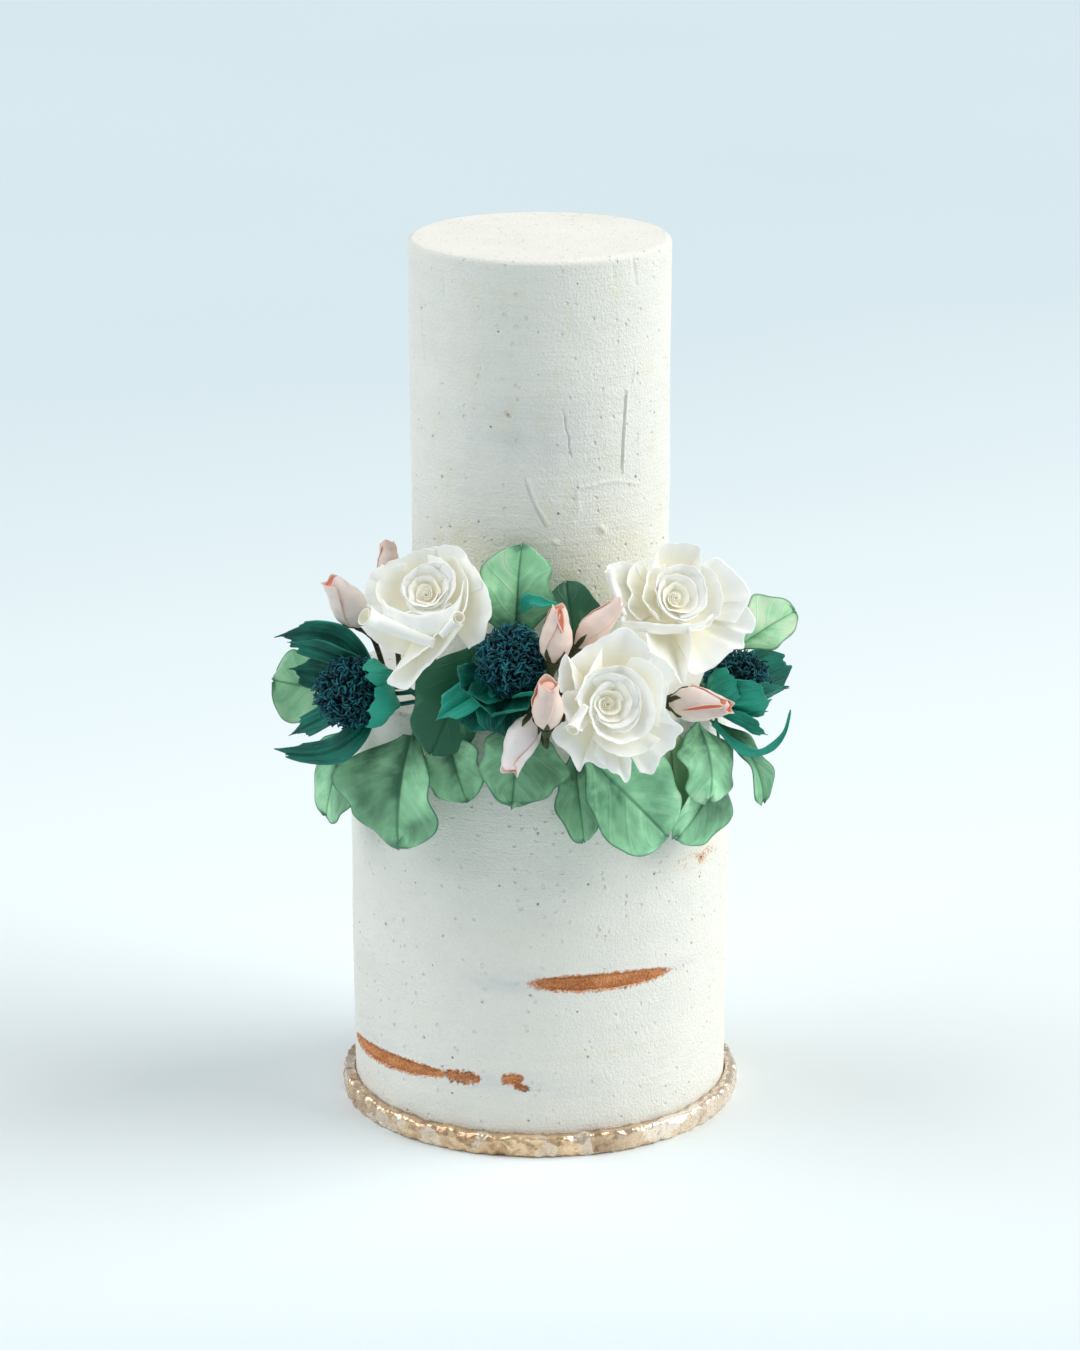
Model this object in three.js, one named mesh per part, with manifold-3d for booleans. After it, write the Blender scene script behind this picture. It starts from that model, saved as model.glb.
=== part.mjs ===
// A two-tier wedding cake in thin buttercream with a spray of sugar flowers on its ledge.
// Millimetres. The axis of the cake is z, the floor is z = 0 and the front is -y.
import * as THREE from 'three';
import { mergeVertices } from 'three/addons/utils/BufferGeometryUtils.js';
import Module from 'manifold-3d';

const wasm = await Module();
wasm.setup();

// Driving sizes of the cake
const GAP = 0.3;
const TOTAL_HEIGHT = 362;
const TOP_RADIUS = 52.3;
const LEDGE_HEIGHT = 180;
const BOTTOM_RADIUS_LOW = 77.2;
const BOTTOM_RADIUS_HIGH = 78.5;
const ICING_THICKNESS = 2.4;
const EDGE_ROUNDING = 2.2;
const SKIN_FOOT = 0.6;
const BORDER_HEIGHT = 9;
const BORDER_INNER = 77.9;
const BORDER_OUTER = 82.6;
const TIER_SIDES = 38;
const BORDER_SIDES = 44;

// Driving sizes of the sugar work
const PETAL_THICKNESS = 1.0;
const LEAF_THICKNESS = 1.0;
const BRACT_THICKNESS = 1.0;
const WIRE_RADIUS = 1.2;
const STALK_WIDTH = 1.8;
const STALK_REACH = 72;
const STALK_SHARE = 2 / 7;
const ROOT_HEIGHT = LEDGE_HEIGHT + GAP + 0.2;

// How a rose petal is made unless its own entry says otherwise: its foot's reach and depth, the
// shares of its width at equal steps, the point, shoulder and wave of its rim, and how soon it opens.
const PETAL_FOOT = [8.4, -15.4];
const PETAL_STAGGER = 1.4;
const PETAL_OUTLINE = [0.22, 0.66, 0.94, 1.0, 0.92];
const PETAL_HABIT = { tip: 0.06, shoulder: 0.22, wave: 0.8, bend: 1.3, roll: [0, 0], rollRadius: 3 };

// Places where the icing was scraped back to the sponge: angle from the front in degrees,
// height, half thickness and half length in degrees, and how far the patch climbs to the right.
const PATCH_INNER = 70;
const BARE_PATCHES = [
  { angle: 19, height: 72.6, thick: 3.2, length: 20, climb: -0.8 },
  { angle: -52, height: 28.6, thick: 3.0, length: 23, climb: 1.8 },
];

const vec = (x, y, z) => new THREE.Vector3(x, y, z);
const rad = (degrees) => degrees * Math.PI / 180;
const mix = (a, b, t) => a + (b - a) * t;
const aim = (angle, lift) => vec(
  Math.sin(rad(angle)) * Math.cos(rad(lift)),
  -Math.cos(rad(angle)) * Math.cos(rad(lift)),
  Math.sin(rad(lift)),
);

// Seeded draw between 0 and 1 for the unevenness of hand work
const draw = (seed) => {
  const wave = Math.sin(seed * 12.9898) * 43758.5453;
  return wave - Math.floor(wave);
};

// Solids, joins and cuts
const solidFrom = (points, faces) => new wasm.Manifold(new wasm.Mesh({
  numProp: 3,
  vertProperties: Float32Array.from(points.flatMap((p) => [p.x, p.y, p.z])),
  triVerts: Uint32Array.from(faces.flat()),
}));

const solidFromGeometry = (geometry) => {
  const bare = geometry.clone();
  bare.deleteAttribute('normal');
  bare.deleteAttribute('uv');
  const welded = mergeVertices(bare, 1e-4);
  return new wasm.Manifold(new wasm.Mesh({
    numProp: 3,
    vertProperties: Float32Array.from(welded.attributes.position.array),
    triVerts: Uint32Array.from(welded.index.array),
  }));
};

const geometryFrom = (solid) => {
  const mesh = solid.getMesh();
  const geometry = new THREE.BufferGeometry();
  geometry.setAttribute('position', new THREE.BufferAttribute(Float32Array.from(mesh.vertProperties), 3));
  geometry.setIndex(Array.from(mesh.triVerts));
  geometry.computeVertexNormals();
  return geometry;
};

const joined = (solids) => solids.reduce((whole, next) => whole.add(next));

const largest = (solid) => solid.decompose().reduce((a, b) => (a.volume() > b.volume() ? a : b));

// The same solid with every corner moved outwards, used to cut its neighbours with a gap
const grown = (solid, distance) => {
  const geometry = geometryFrom(solid);
  const place = geometry.attributes.position;
  const normal = geometry.attributes.normal;
  const points = [];
  for (let i = 0; i < place.count; i += 1) {
    points.push(vec(
      place.getX(i) + normal.getX(i) * distance,
      place.getY(i) + normal.getY(i) * distance,
      place.getZ(i) + normal.getZ(i) * distance,
    ));
  }
  const faces = [];
  for (let i = 0; i < geometry.index.count; i += 3) {
    faces.push([geometry.index.getX(i), geometry.index.getX(i + 1), geometry.index.getX(i + 2)]);
  }
  return solidFrom(points, faces);
};

// A closed solid between two poles from rings of points
const ringedSolid = (first, rings, last) => {
  const sides = rings[0].length;
  const points = [first, ...rings.flat(), last];
  const faces = [];
  const end = points.length - 1;
  for (let k = 0; k < sides; k += 1) {
    const next = (k + 1) % sides;
    faces.push([0, 1 + next, 1 + k]);
    faces.push([end, 1 + (rings.length - 1) * sides + k, 1 + (rings.length - 1) * sides + next]);
    for (let j = 0; j < rings.length - 1; j += 1) {
      const low = 1 + j * sides;
      const high = low + sides;
      faces.push([low + k, low + next, high + next]);
      faces.push([low + k, high + next, high + k]);
    }
  }
  return solidFrom(points, faces);
};

// A thin wavy sheet with two like faces; pointAt takes u from -1 to 1 and v from 0 to 1
const sheet = (pointAt, columns, rows, thickness) => {
  const front = [];
  const back = [];
  const step = 0.02;
  for (let j = 0; j <= rows; j += 1) {
    for (let i = 0; i <= columns; i += 1) {
      const u = -1 + 2 * i / columns;
      const v = j / rows;
      const here = pointAt(u, v);
      const sideways = pointAt(u + step, v).sub(pointAt(u - step, v));
      const onwards = pointAt(u, v + step).sub(pointAt(u, v - step));
      const normal = sideways.cross(onwards).normalize().multiplyScalar(thickness / 2);
      front.push(here.clone().add(normal));
      back.push(here.clone().sub(normal));
    }
  }
  const row = columns + 1;
  const half = front.length;
  const faces = [];
  for (let j = 0; j < rows; j += 1) {
    for (let i = 0; i < columns; i += 1) {
      const a = j * row + i;
      const corners = [a, a + 1, a + row + 1, a + row];
      faces.push([corners[0], corners[1], corners[2]], [corners[0], corners[2], corners[3]]);
      faces.push([half + corners[0], half + corners[2], half + corners[1]]);
      faces.push([half + corners[0], half + corners[3], half + corners[2]]);
    }
  }
  const rim = [];
  for (let i = 0; i < columns; i += 1) rim.push(i);
  for (let j = 0; j < rows; j += 1) rim.push(j * row + columns);
  for (let i = columns; i > 0; i -= 1) rim.push(rows * row + i);
  for (let j = rows; j > 0; j -= 1) rim.push(j * row);
  rim.forEach((a, k) => {
    const b = rim[(k + 1) % rim.length];
    faces.push([a, half + a, half + b], [a, half + b, b]);
  });
  return solidFrom([...front, ...back], faces);
};

// A wire through a few points
const wire = (points) => {
  const section = new THREE.Shape();
  const sides = 5;
  for (let k = 0; k < sides; k += 1) {
    const turn = 2 * Math.PI * k / sides;
    section[k ? 'lineTo' : 'moveTo'](WIRE_RADIUS * Math.cos(turn), WIRE_RADIUS * Math.sin(turn));
  }
  section.closePath();
  const extrudePath = new THREE.CatmullRomCurve3(points);
  const settings = { steps: 3, bevelEnabled: false, extrudePath };
  return solidFromGeometry(new THREE.ExtrudeGeometry(section, settings));
};

// The wire under a flower: from its foot, straight back a little, then down into the ledge
const stem = (foot, behind, root) => wire([
  foot,
  behind,
  vec(mix(behind.x, root[0], 0.6), mix(behind.y, root[1], 0.6), mix(behind.z, ROOT_HEIGHT, 0.5)),
  vec(root[0], root[1], ROOT_HEIGHT),
]);

// Smooth reading of a few hand-set values at equal steps from 0 to 1
const along = (values, t) => {
  const place = Math.min(Math.max(t, 0), 1) * (values.length - 1);
  const k = Math.min(Math.floor(place), values.length - 2);
  const f = place - k;
  const before = values[Math.max(k - 1, 0)];
  const after = values[Math.min(k + 2, values.length - 1)];
  const m0 = (values[k + 1] - before) / 2;
  const m1 = (after - values[k]) / 2;
  const f2 = f * f;
  const f3 = f2 * f;
  return (2 * f3 - 3 * f2 + 1) * values[k] + (f3 - 2 * f2 + f) * m0
    + (3 * f2 - 2 * f3) * values[k + 1] + (f3 - f2) * m1;
};

// A flower's own frame: x to its right and y up as seen from in front of it, z the way it faces
const flowerFrame = (heart, facing) => {
  const right = vec(0, 0, 1).cross(facing).normalize();
  const up = facing.clone().cross(right);
  return new THREE.Matrix4().makeBasis(right, up, facing).setPosition(heart);
};

// One petal of a flower, in the flower's frame. turn: where round the flower it stands;
// start: its foot's [reach, depth]; lean: angles from the axis at foot and rim;
// cup: radius it is cupped to; roll: [left, right] widths rolled back; tip: point of the rim.
const petalPoint = (petal) => {
  const slices = 16;
  const line = [[petal.start[0], petal.start[1], rad(petal.lean[0])]];
  for (let k = 1; k <= slices * 1.3; k += 1) {
    const opened = Math.min(k / slices, 1.2) ** petal.bend;
    const angle = rad(mix(petal.lean[0], petal.lean[1], opened));
    const [r, z] = line[k - 1];
    const step = petal.length / slices;
    line.push([r + Math.sin(angle) * step, z + Math.cos(angle) * step, angle]);
  }
  const turn = rad(petal.turn);
  const outward = vec(Math.cos(turn), Math.sin(turn), 0);
  const sideways = vec(-Math.sin(turn), Math.cos(turn), 0);
  return (u, v) => {
    const rim = 1 - petal.shoulder * Math.abs(u) ** 2.4 + petal.tip * Math.exp(-((u / 0.2) ** 2));
    const place = Math.min(Math.max(rim * v, 0), 1.2) * slices;
    const k = Math.min(Math.floor(place), line.length - 2);
    const f = place - k;
    const r = mix(line[k][0], line[k + 1][0], f);
    const z = mix(line[k][1], line[k + 1][1], f);
    const angle = mix(line[k][2], line[k + 1][2], f);
    const inward = outward.clone().multiplyScalar(-Math.cos(angle)).add(vec(0, 0, Math.sin(angle)));
    const half = petal.width / 2 * along(PETAL_OUTLINE, v);
    const side = Math.sign(u) || 1;
    const roll = petal.roll[side < 0 ? 0 : 1] * Math.min(1, v * 1.6);
    const flat = Math.max(half - roll, 0);
    const s = Math.abs(u) * half;
    const inner = Math.min(s, flat);
    const turned = inner / petal.cup;
    let x = petal.cup * Math.sin(turned);
    let n = petal.cup * (1 - Math.cos(turned));
    if (s > flat) {
      const now = turned - (s - flat) / petal.rollRadius;
      x += petal.rollRadius * (Math.sin(turned) - Math.sin(now));
      n += petal.rollRadius * (Math.cos(now) - Math.cos(turned));
    }
    n += petal.wave * v * v * Math.sin(4.2 * u + turn * 5);
    return outward.clone().multiplyScalar(r).add(vec(0, 0, z))
      .add(sideways.clone().multiplyScalar(side * x))
      .add(inward.multiplyScalar(n));
  };
};

const petalSolid = (petal) => sheet(petalPoint(petal), 4, 2, PETAL_THICKNESS);

// The middle of a rose: a strip of paste rolled outwards as a spiral ridge, on the swell behind it
const ROLL_REACH = 14.5;
const ROLL_DEPTH = 20.8;
const roseRoll = (spec) => {
  const perTurn = 9;
  const steps = 33;
  const start = 1.1;
  const reach = ROLL_REACH * spec.size;
  const pitch = reach * perTurn / steps;
  const valleyDepth = 4.5;
  const around = (i, r, z) => {
    const turn = rad(spec.shift) + i * 2 * Math.PI / perTurn;
    return vec(r * Math.cos(turn), r * Math.sin(turn), z);
  };
  const ridgeReach = (i) => start + (reach - start) * (i / steps) ** 1.1;
  const ridgeHeight = (i) => -1.5 + 2.4 * Math.sin(2.7 * i / steps) + 0.5 * Math.sin(i);
  const points = [vec(0, 0, -3.2)];
  for (let i = 0; i <= steps; i += 1) {
    points.push(around(i, ridgeReach(i), ridgeHeight(i)));
    points.push(around(i, ridgeReach(i) + pitch * 0.4, ridgeHeight(i) - valleyDepth));
  }
  const ridge = (i) => 1 + 2 * i;
  const valley = (i) => 2 + 2 * i;
  const faces = [[0, valley(0), ridge(0)], [0, ridge(perTurn), valley(0)]];
  for (let i = 0; i < perTurn; i += 1) faces.push([0, ridge(i), ridge(i + 1)]);
  for (let i = 0; i < steps; i += 1) {
    faces.push([ridge(i), valley(i), valley(i + 1)], [ridge(i), valley(i + 1), ridge(i + 1)]);
    if (i < steps - perTurn) {
      faces.push([valley(i), ridge(i + perTurn), ridge(i + perTurn + 1)]);
      faces.push([valley(i), ridge(i + perTurn + 1), valley(i + 1)]);
    }
  }
  let upper = Array.from({ length: perTurn + 1 }, (_, k) => valley(steps - perTurn + k));
  upper.push(ridge(steps));
  [[0.94, -9.5], [0.72, -16], [0.5, -19.4]].forEach(([share, z]) => {
    const lower = upper.map((_, k) => {
      const i = steps - perTurn + Math.min(k, perTurn + 0.5) * 0.97;
      points.push(around(i, reach * share, z));
      return points.length - 1;
    });
    upper.forEach((a, k) => {
      const next = (k + 1) % upper.length;
      faces.push([a, lower[k], lower[next]], [a, lower[next], upper[next]]);
    });
    upper = lower;
  });
  const last = points.push(vec(0, 0, -ROLL_DEPTH)) - 1;
  upper.forEach((a, k) => faces.push([last, upper[(k + 1) % upper.length], a]));
  return solidFrom(points, faces);
};

const ROSES = {
  rose_left: {
    heart: [-44.9, -72, 234.4], aim: [-14, 30], shift: 0, size: 0.9, root: [-44, -50],
    petals: [
      { turn: 60, length: 20, width: 27, lean: [34, 70], cup: 18, tip: 0.08 },
      { turn: 118, length: 19, width: 27, lean: [38, 74], cup: 18 },
      { turn: 10, length: 20, width: 25, lean: [38, 78], cup: 18, tip: 0.08 },
      { turn: 172, length: 20, width: 24, lean: [40, 78], cup: 19, roll: [0, 3] },
      { turn: 222, length: 24, width: 34, lean: [48, 60], cup: 24, tip: 0, roll: [11, 0], rollRadius: 2.4 },
      { turn: 268, length: 29, width: 20, lean: [54, 76], cup: 13, tip: 0.1, roll: [3, 7], rollRadius: 2.4 },
      { turn: 318, length: 21, width: 25, lean: [44, 76], cup: 17 },
    ],
  },
  rose_front: {
    heart: [26.2, -106, 199.6], aim: [5, 18], shift: 35, size: 1, root: [22, -66],
    petals: [
      { turn: 96, length: 27, width: 31, lean: [36, 68], cup: 22 },
      { turn: 44, length: 24, width: 28, lean: [38, 74], cup: 20 },
      { turn: 352, length: 25, width: 31, lean: [42, 80], cup: 22, tip: 0.09 },
      { turn: 150, length: 21, width: 25, lean: [32, 52], cup: 14, tip: 0.1, roll: [0, 4] },
      { turn: 196, length: 19, width: 25, lean: [36, 58], cup: 15, roll: [0, 6], rollRadius: 2.6 },
      { turn: 242, length: 26, width: 27, lean: [46, 82], cup: 22, tip: 0.12 },
      { turn: 294, length: 26, width: 30, lean: [46, 84], cup: 22, tip: 0.14 },
    ],
  },
  rose_right: {
    heart: [53.7, -68, 231.7], aim: [20, 30], shift: 80, size: 1.05, root: [46, -48],
    petals: [
      { turn: 104, length: 26, width: 30, lean: [32, 52], cup: 20 },
      { turn: 52, length: 26, width: 31, lean: [38, 68], cup: 21 },
      { turn: 2, length: 27, width: 33, lean: [44, 78], cup: 23 },
      { turn: 158, length: 26, width: 27, lean: [40, 62], cup: 17, roll: [6, 3], rollRadius: 3 },
      { turn: 212, length: 24, width: 28, lean: [42, 66], cup: 18 },
      { turn: 266, length: 31, width: 26, lean: [46, 76], cup: 16, tip: 0.16, roll: [4, 0] },
      { turn: 316, length: 27, width: 32, lean: [46, 80], cup: 22 },
    ],
  },
};

const rose = (spec) => {
  const petals = spec.petals.map((petal, k) => petalSolid({
    start: [PETAL_FOOT[0], PETAL_FOOT[1] - PETAL_STAGGER * (k % 2)],
    ...PETAL_HABIT,
    ...petal,
  }));
  return joined([roseRoll(spec), ...petals]);
};

// Thistle-like flowers: a fuzzy dome, and long bracts with torn tips
const fuzzyDome = (radius, depth) => {
  const sides = 12;
  const levels = [[0.5, 0], [0.86, 0.22], [1.0, 0.5], [0.9, 0.76], [0.55, 0.94]];
  const rings = levels.map(([r, z], level) => Array.from({ length: sides }, (_, k) => {
    const turn = 2 * Math.PI * (k + (level % 2) / 2) / sides;
    const bump = mix(0.9, 1.1, draw(level * 17 + k));
    return vec(radius * r * bump * Math.cos(turn), radius * r * bump * Math.sin(turn), depth * z * bump);
  }));
  return ringedSolid(vec(0, 0, -1), rings, vec(0, 0, depth * 1.02));
};

const bractCup = () => {
  const sides = 6;
  const ring = (r, z) => Array.from({ length: sides }, (_, k) => {
    const turn = 2 * Math.PI * k / sides;
    return vec(r * Math.cos(turn), r * Math.sin(turn), z);
  });
  return ringedSolid(vec(0, 0, -10), [ring(2.4, -9), ring(4.6, -5), ring(5.4, -1.6)], vec(0, 0, -1.6));
};

// Each bract has its tip, width, and how far it bows to its face, sweeps sideways and folds
const PROTEAS = {
  protea_left: {
    seat: [-66, -58, 190.5], aim: [-50, 6], domeRadius: 12, domeDepth: 24, root: [-47, -40],
    bracts: [
      { tip: [-107, -50, 209], width: 12, bow: -2, sweep: 11, fold: 12 },
      { tip: [-101, -60, 210.5], width: 9, bow: -1, sweep: 4, fold: 10 },
      { tip: [-101, -50, 196.5], width: 11, bow: -3, fold: 10 },
      { tip: [-100.5, -60, 172], width: 8, bow: 1, fold: 10 },
      { tip: [-108, -70, 170], width: 10, bow: -2, sweep: -13, fold: 10 },
      { tip: [-69.5, -80, 204], width: 10, bow: -8, fold: 24 },
      { tip: [-68, -83, 189.5], width: 12, bow: -9, fold: 24 },
    ],
  },
  protea_centre: {
    seat: [-10.5, -79, 205], aim: [-4, 40], domeRadius: 12, domeDepth: 20, root: [-12, -66],
    bracts: [
      { tip: [-19.5, -105, 197.5], width: 20, bow: -6, fold: 30 },
      { tip: [-30, -97, 205], width: 15, bow: -5, fold: 26 },
      { tip: [-41, -94, 192], width: 11, bow: 2, fold: 20 },
      { tip: [-2.5, -103, 205], width: 11, bow: -4, fold: 20 },
      { tip: [-4.4, -72, 229], width: 7, bow: -6, fold: 12 },
    ],
  },
  protea_right: {
    seat: [70.5, -49, 187], aim: [105, 22], domeRadius: 10.5, domeDepth: 22, root: [58, -42],
    bracts: [
      { tip: [102.3, -30, 195], width: 13, bow: -3, fold: 14 },
      { tip: [102, -40, 186.5], width: 4, bow: 1, fold: 6 },
      { tip: [78.5, -62, 196], width: 9, bow: -3, fold: 14 },
      { tip: [91, -63, 189.5], width: 9, bow: -3, fold: 14 },
      { tip: [97, -54, 190.5], width: 8, bow: -2, fold: 14 },
      { tip: [90.5, -58, 182.5], width: 7, bow: -2, fold: 14 },
      { tip: [90.5, -62, 173.5], width: 9, bow: -2, fold: 14 },
      { tip: [100.5, -47, 175.5], width: 4, bow: -14, fold: 6 },
    ],
  },
};

const bract = (spec, flower) => {
  const seat = vec(...flower.seat);
  const axis = aim(...flower.aim);
  const tip = vec(...spec.tip);
  const spread = tip.clone().sub(seat);
  const outward = spread.clone().sub(axis.clone().multiplyScalar(spread.dot(axis))).normalize();
  const foot = seat.clone().add(outward.multiplyScalar(4)).sub(axis.clone().multiplyScalar(4));
  const half = spec.width / 2;
  const pointAt = bladePoint({
    ...spec,
    foot: foot.toArray(),
    face: axis,
    left: [half * 0.4, half * 0.9, half, half * 0.9, half * 0.25],
    right: [half * 0.4, half * 0.9, half, half * 0.9, half * 0.25],
    ripple: 0.6,
  });
  return sheet(pointAt, 2, 3, BRACT_THICKNESS);
};

const bracts = (flower, frame) => joined([
  bractCup().transform(frame.toArray()),
  ...flower.bracts.map((spec) => bract(spec, flower)),
]);

// Rosebuds: from the foot of the bud to its tip, with the widest radius
const BUDS = {
  bud_left_back: { foot: [-60.6, -12, 222.5], tip: [-62, -6, 237.4], radius: 4.6, root: [-57, -12] },
  bud_left: { foot: [-70.5, -48, 214.5], tip: [-83.2, -52, 234.6], radius: 6.3, root: [-60, -40] },
  bud_centre: { foot: [4.9, -93, 212.2], tip: [7.6, -91, 234.6], radius: 6.2, root: [4, -68] },
  bud_slanted: { foot: [14.2, -86, 216.4], tip: [31.6, -82, 234.2], radius: 5.4, root: [9, -66] },
  bud_open: { foot: [2.6, -107, 190.4], tip: [3.2, -114, 211], radius: 6, root: [-1, -70] },
  bud_low: { foot: [-3.0, -95, 191.5], tip: [-12.2, -105, 171.4], radius: 5.6, root: [-3, -72] },
  bud_right: { foot: [51, -82, 192.8], tip: [74.6, -93, 194.2], radius: 6.8, root: [42, -62] },
};

const budFrame = (spec) => {
  const foot = vec(...spec.foot);
  const facing = vec(...spec.tip).sub(foot);
  return { frame: flowerFrame(foot, facing.clone().normalize()), length: facing.length() };
};

const BUD_SIDES = 8;
const BUD_PROFILE = [[0.42, 0.03], [0.86, 0.19], [1, 0.37], [0.92, 0.55], [0.66, 0.76], [0.42, 0.97]];

// Ring number level of a bud, spread outwards by extra and lifted by sepal on every other corner
const budRing = (spec, length, level, extra = 0, lift = 0, sepal = 0) => {
  const [share, height] = BUD_PROFILE[level];
  return Array.from({ length: BUD_SIDES }, (_, k) => {
    const turn = 2 * Math.PI * k / BUD_SIDES;
    const wrap = 1 + 0.07 * ((((k / BUD_SIDES) * 3 + level * 0.35) % 1) - 0.5);
    const r = spec.radius * share * wrap + extra;
    return vec(r * Math.cos(turn), r * Math.sin(turn), length * height + lift + (k % 2 ? 0 : sepal));
  });
};

const bud = (spec) => {
  const { frame, length } = budFrame(spec);
  const rings = BUD_PROFILE.map((_, level) => budRing(spec, length, level));
  return ringedSolid(vec(0, 0, 0), rings, vec(0, 0, length * 0.93)).transform(frame.toArray());
};

// Green cup with four sepals round the foot of a bud, and the wire it stands on
const calyx = (spec) => {
  const { frame, length } = budFrame(spec);
  const clear = GAP + 0.4;
  const thick = clear + 0.9;
  const neck = budRing(spec, length, 0, 0, -4.6).map((p) => vec(p.x * 0.6, p.y * 0.6, p.z));
  const cup = ringedSolid(vec(0, 0, -5.2), [
    neck,
    budRing(spec, length, 0, thick, -1.2),
    budRing(spec, length, 1, thick + 0.5, 0.2, 1.5),
    budRing(spec, length, 1, clear + 0.5, 0.2, 1.5),
    budRing(spec, length, 0, clear, -0.2),
  ], vec(0, 0, -clear)).transform(frame.toArray());
  const foot = vec(0, 0, -4).applyMatrix4(frame);
  return joined([cup, stem(foot, vec(0, 0, -9).applyMatrix4(frame), spec.root)]);
};

// Leaves: foot and tip of the blade, half widths left and right of the midrib at equal steps, the
// [angle, lift] its face looks, and how the blade bows, folds along the midrib and ripples.
const LEAVES = {
  leaf_upper_centre: {
    foot: [-10.5, -65, 212], tip: [-7.2, -59.5, 251.6],
    left: [2, 12, 15.5, 14, 2], right: [2, 11, 14, 13.5, 2],
    aim: [0, 10], bow: 2, fold: 12, ripple: 1.2,
  },
  leaf_upper_dark: {
    foot: [14, -71, 207], tip: [10, -61, 236.6], left: [2, 8, 10, 8, 1], right: [2, 10, 12, 10, 1],
    aim: [6, 12], bow: 2, fold: 8, ripple: 0.8,
  },
  leaf_right_light: {
    foot: [79.5, -43, 204.5], tip: [103, -29, 215], left: [2, 10, 14, 10, 0.5], right: [2, 8, 10, 7, 0.5],
    aim: [30, 40], bow: 2, fold: 14, ripple: 1,
  },
  leaf_far_left: {
    foot: [-80, -34, 183.5], tip: [-108, -36, 188], left: [2, 12, 16, 15, 5], right: [3, 13, 15, 14, 4],
    aim: [-20, 6], bow: 2, fold: 6, ripple: 2.2,
  },
  leaf_low_left_back: {
    foot: [-75.5, -42, 168], tip: [-87, -33, 128], left: [3, 14, 17, 15, 4], right: [3, 12, 15, 12, 3],
    aim: [-58, 6], bow: 2, fold: 6, ripple: 1.4,
  },
  leaf_low_left: {
    foot: [-50.5, -69, 175], tip: [-56, -78, 129.4], left: [3, 15, 20, 21, 6], right: [4, 23, 27, 20, 5],
    aim: [-34, 8], bow: 4, fold: 14, ripple: 2,
  },
  leaf_mid_left: {
    foot: [-25, -70, 212], tip: [-43, -83, 171], left: [2, 9, 12, 12, 3], right: [2, 14, 17, 14, 3],
    aim: [10, 16], bow: 2, fold: 8, ripple: 1,
  },
  leaf_low_mid_left: {
    foot: [-36, -78, 178], tip: [-28.5, -86, 152.6], left: [3, 11, 12, 10, 3], right: [3, 14, 15, 12, 4],
    aim: [-24, 10], bow: 1.5, fold: 8, ripple: 0.8,
  },
  leaf_low_centre: {
    foot: [-6.4, -85, 187], tip: [-11.4, -93.5, 151.4], left: [2, 15, 20, 17, 6], right: [2, 13, 15, 11, 3],
    aim: [-6, 10], bow: 3, fold: 8, ripple: 1.4,
  },
  leaf_low_narrow: {
    foot: [13, -83, 173], tip: [17.5, -86.5, 135.6], left: [1, 7, 9, 7, 1], right: [1, 8, 10, 8, 1],
    aim: [10, 6], bow: 1.5, fold: 10, ripple: 1,
  },
  leaf_low_right: {
    foot: [17, -89, 174], tip: [51, -84, 137], left: [2, 17, 20, 16, 4], right: [2, 14, 18, 18, 4],
    aim: [20, 8], bow: 4, fold: 12, ripple: 1.6,
  },
  leaf_low_olive: {
    foot: [51, -64.5, 176], tip: [53, -67, 141.4], left: [2, 9, 10, 9, 2], right: [2, 9, 10, 8, 2],
    aim: [36, 8], bow: 1.5, fold: 6, ripple: 1,
  },
  leaf_right_curly: {
    foot: [63, -60, 178], tip: [67, -74, 147.6], left: [2, 13, 16, 17, 6], right: [2, 10, 13, 12, 4],
    aim: [40, 14], bow: 4, fold: -16, ripple: 2.2,
  },
  leaf_right_low: {
    foot: [73, -42, 158], tip: [58, -72, 130.8], left: [3, 13, 14, 11, 3], right: [3, 15, 17, 14, 4],
    aim: [52, 4], bow: 3, fold: 14, ripple: 1.6,
  },
  leaf_right_narrow: {
    foot: [69, -54, 176], tip: [89.5, -56, 141.6], left: [1.5, 5, 6, 6, 2], right: [1.5, 5, 6, 7, 2],
    aim: [50, 10], bow: 6, fold: 16, ripple: 1.4,
  },
  leaf_between_roses: {
    foot: [40, -62, 196], tip: [45, -70, 213], left: [2, 7, 8, 7, 2], right: [2, 7, 8, 7, 2],
    aim: [20, 30], bow: 1, fold: 8, ripple: 0.6,
  },
};

// Half width of a blade, blunt at its tip
const BLUNT_SHARE = 0.5;
const bladeHalf = (values, v) => along([...values.slice(0, -1), values[values.length - 2] * BLUNT_SHARE], v);

// A blade between a foot and a tip, with its own half widths, looking the way it is aimed
const bladePoint = (spec) => {
  const foot = vec(...spec.foot);
  const tip = vec(...spec.tip);
  const length = foot.distanceTo(tip);
  const onwards = tip.clone().sub(foot).normalize();
  const looking = spec.face ?? aim(...spec.aim);
  const face = looking.clone().sub(onwards.clone().multiplyScalar(looking.dot(onwards))).normalize();
  const right = onwards.clone().cross(face);
  const fold = rad(spec.fold);
  const sweep = spec.sweep ?? 0;
  return (u, v) => {
    const half = bladeHalf(u < 0 ? spec.left : spec.right, v);
    const out = Math.abs(u) * half;
    const lift = spec.bow * 4 * v * (1 - v);
    const ripple = spec.ripple * Math.abs(u) * Math.sin(v * 9 + (u < 0 ? 2 : 0.5) + length);
    return foot.clone()
      .add(onwards.clone().multiplyScalar(length * v))
      .add(right.clone().multiplyScalar(Math.sign(u) * out * Math.cos(fold) + sweep * 4 * v * (1 - v)))
      .add(face.clone().multiplyScalar(lift + ripple + out * Math.sin(fold)));
  };
};

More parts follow.
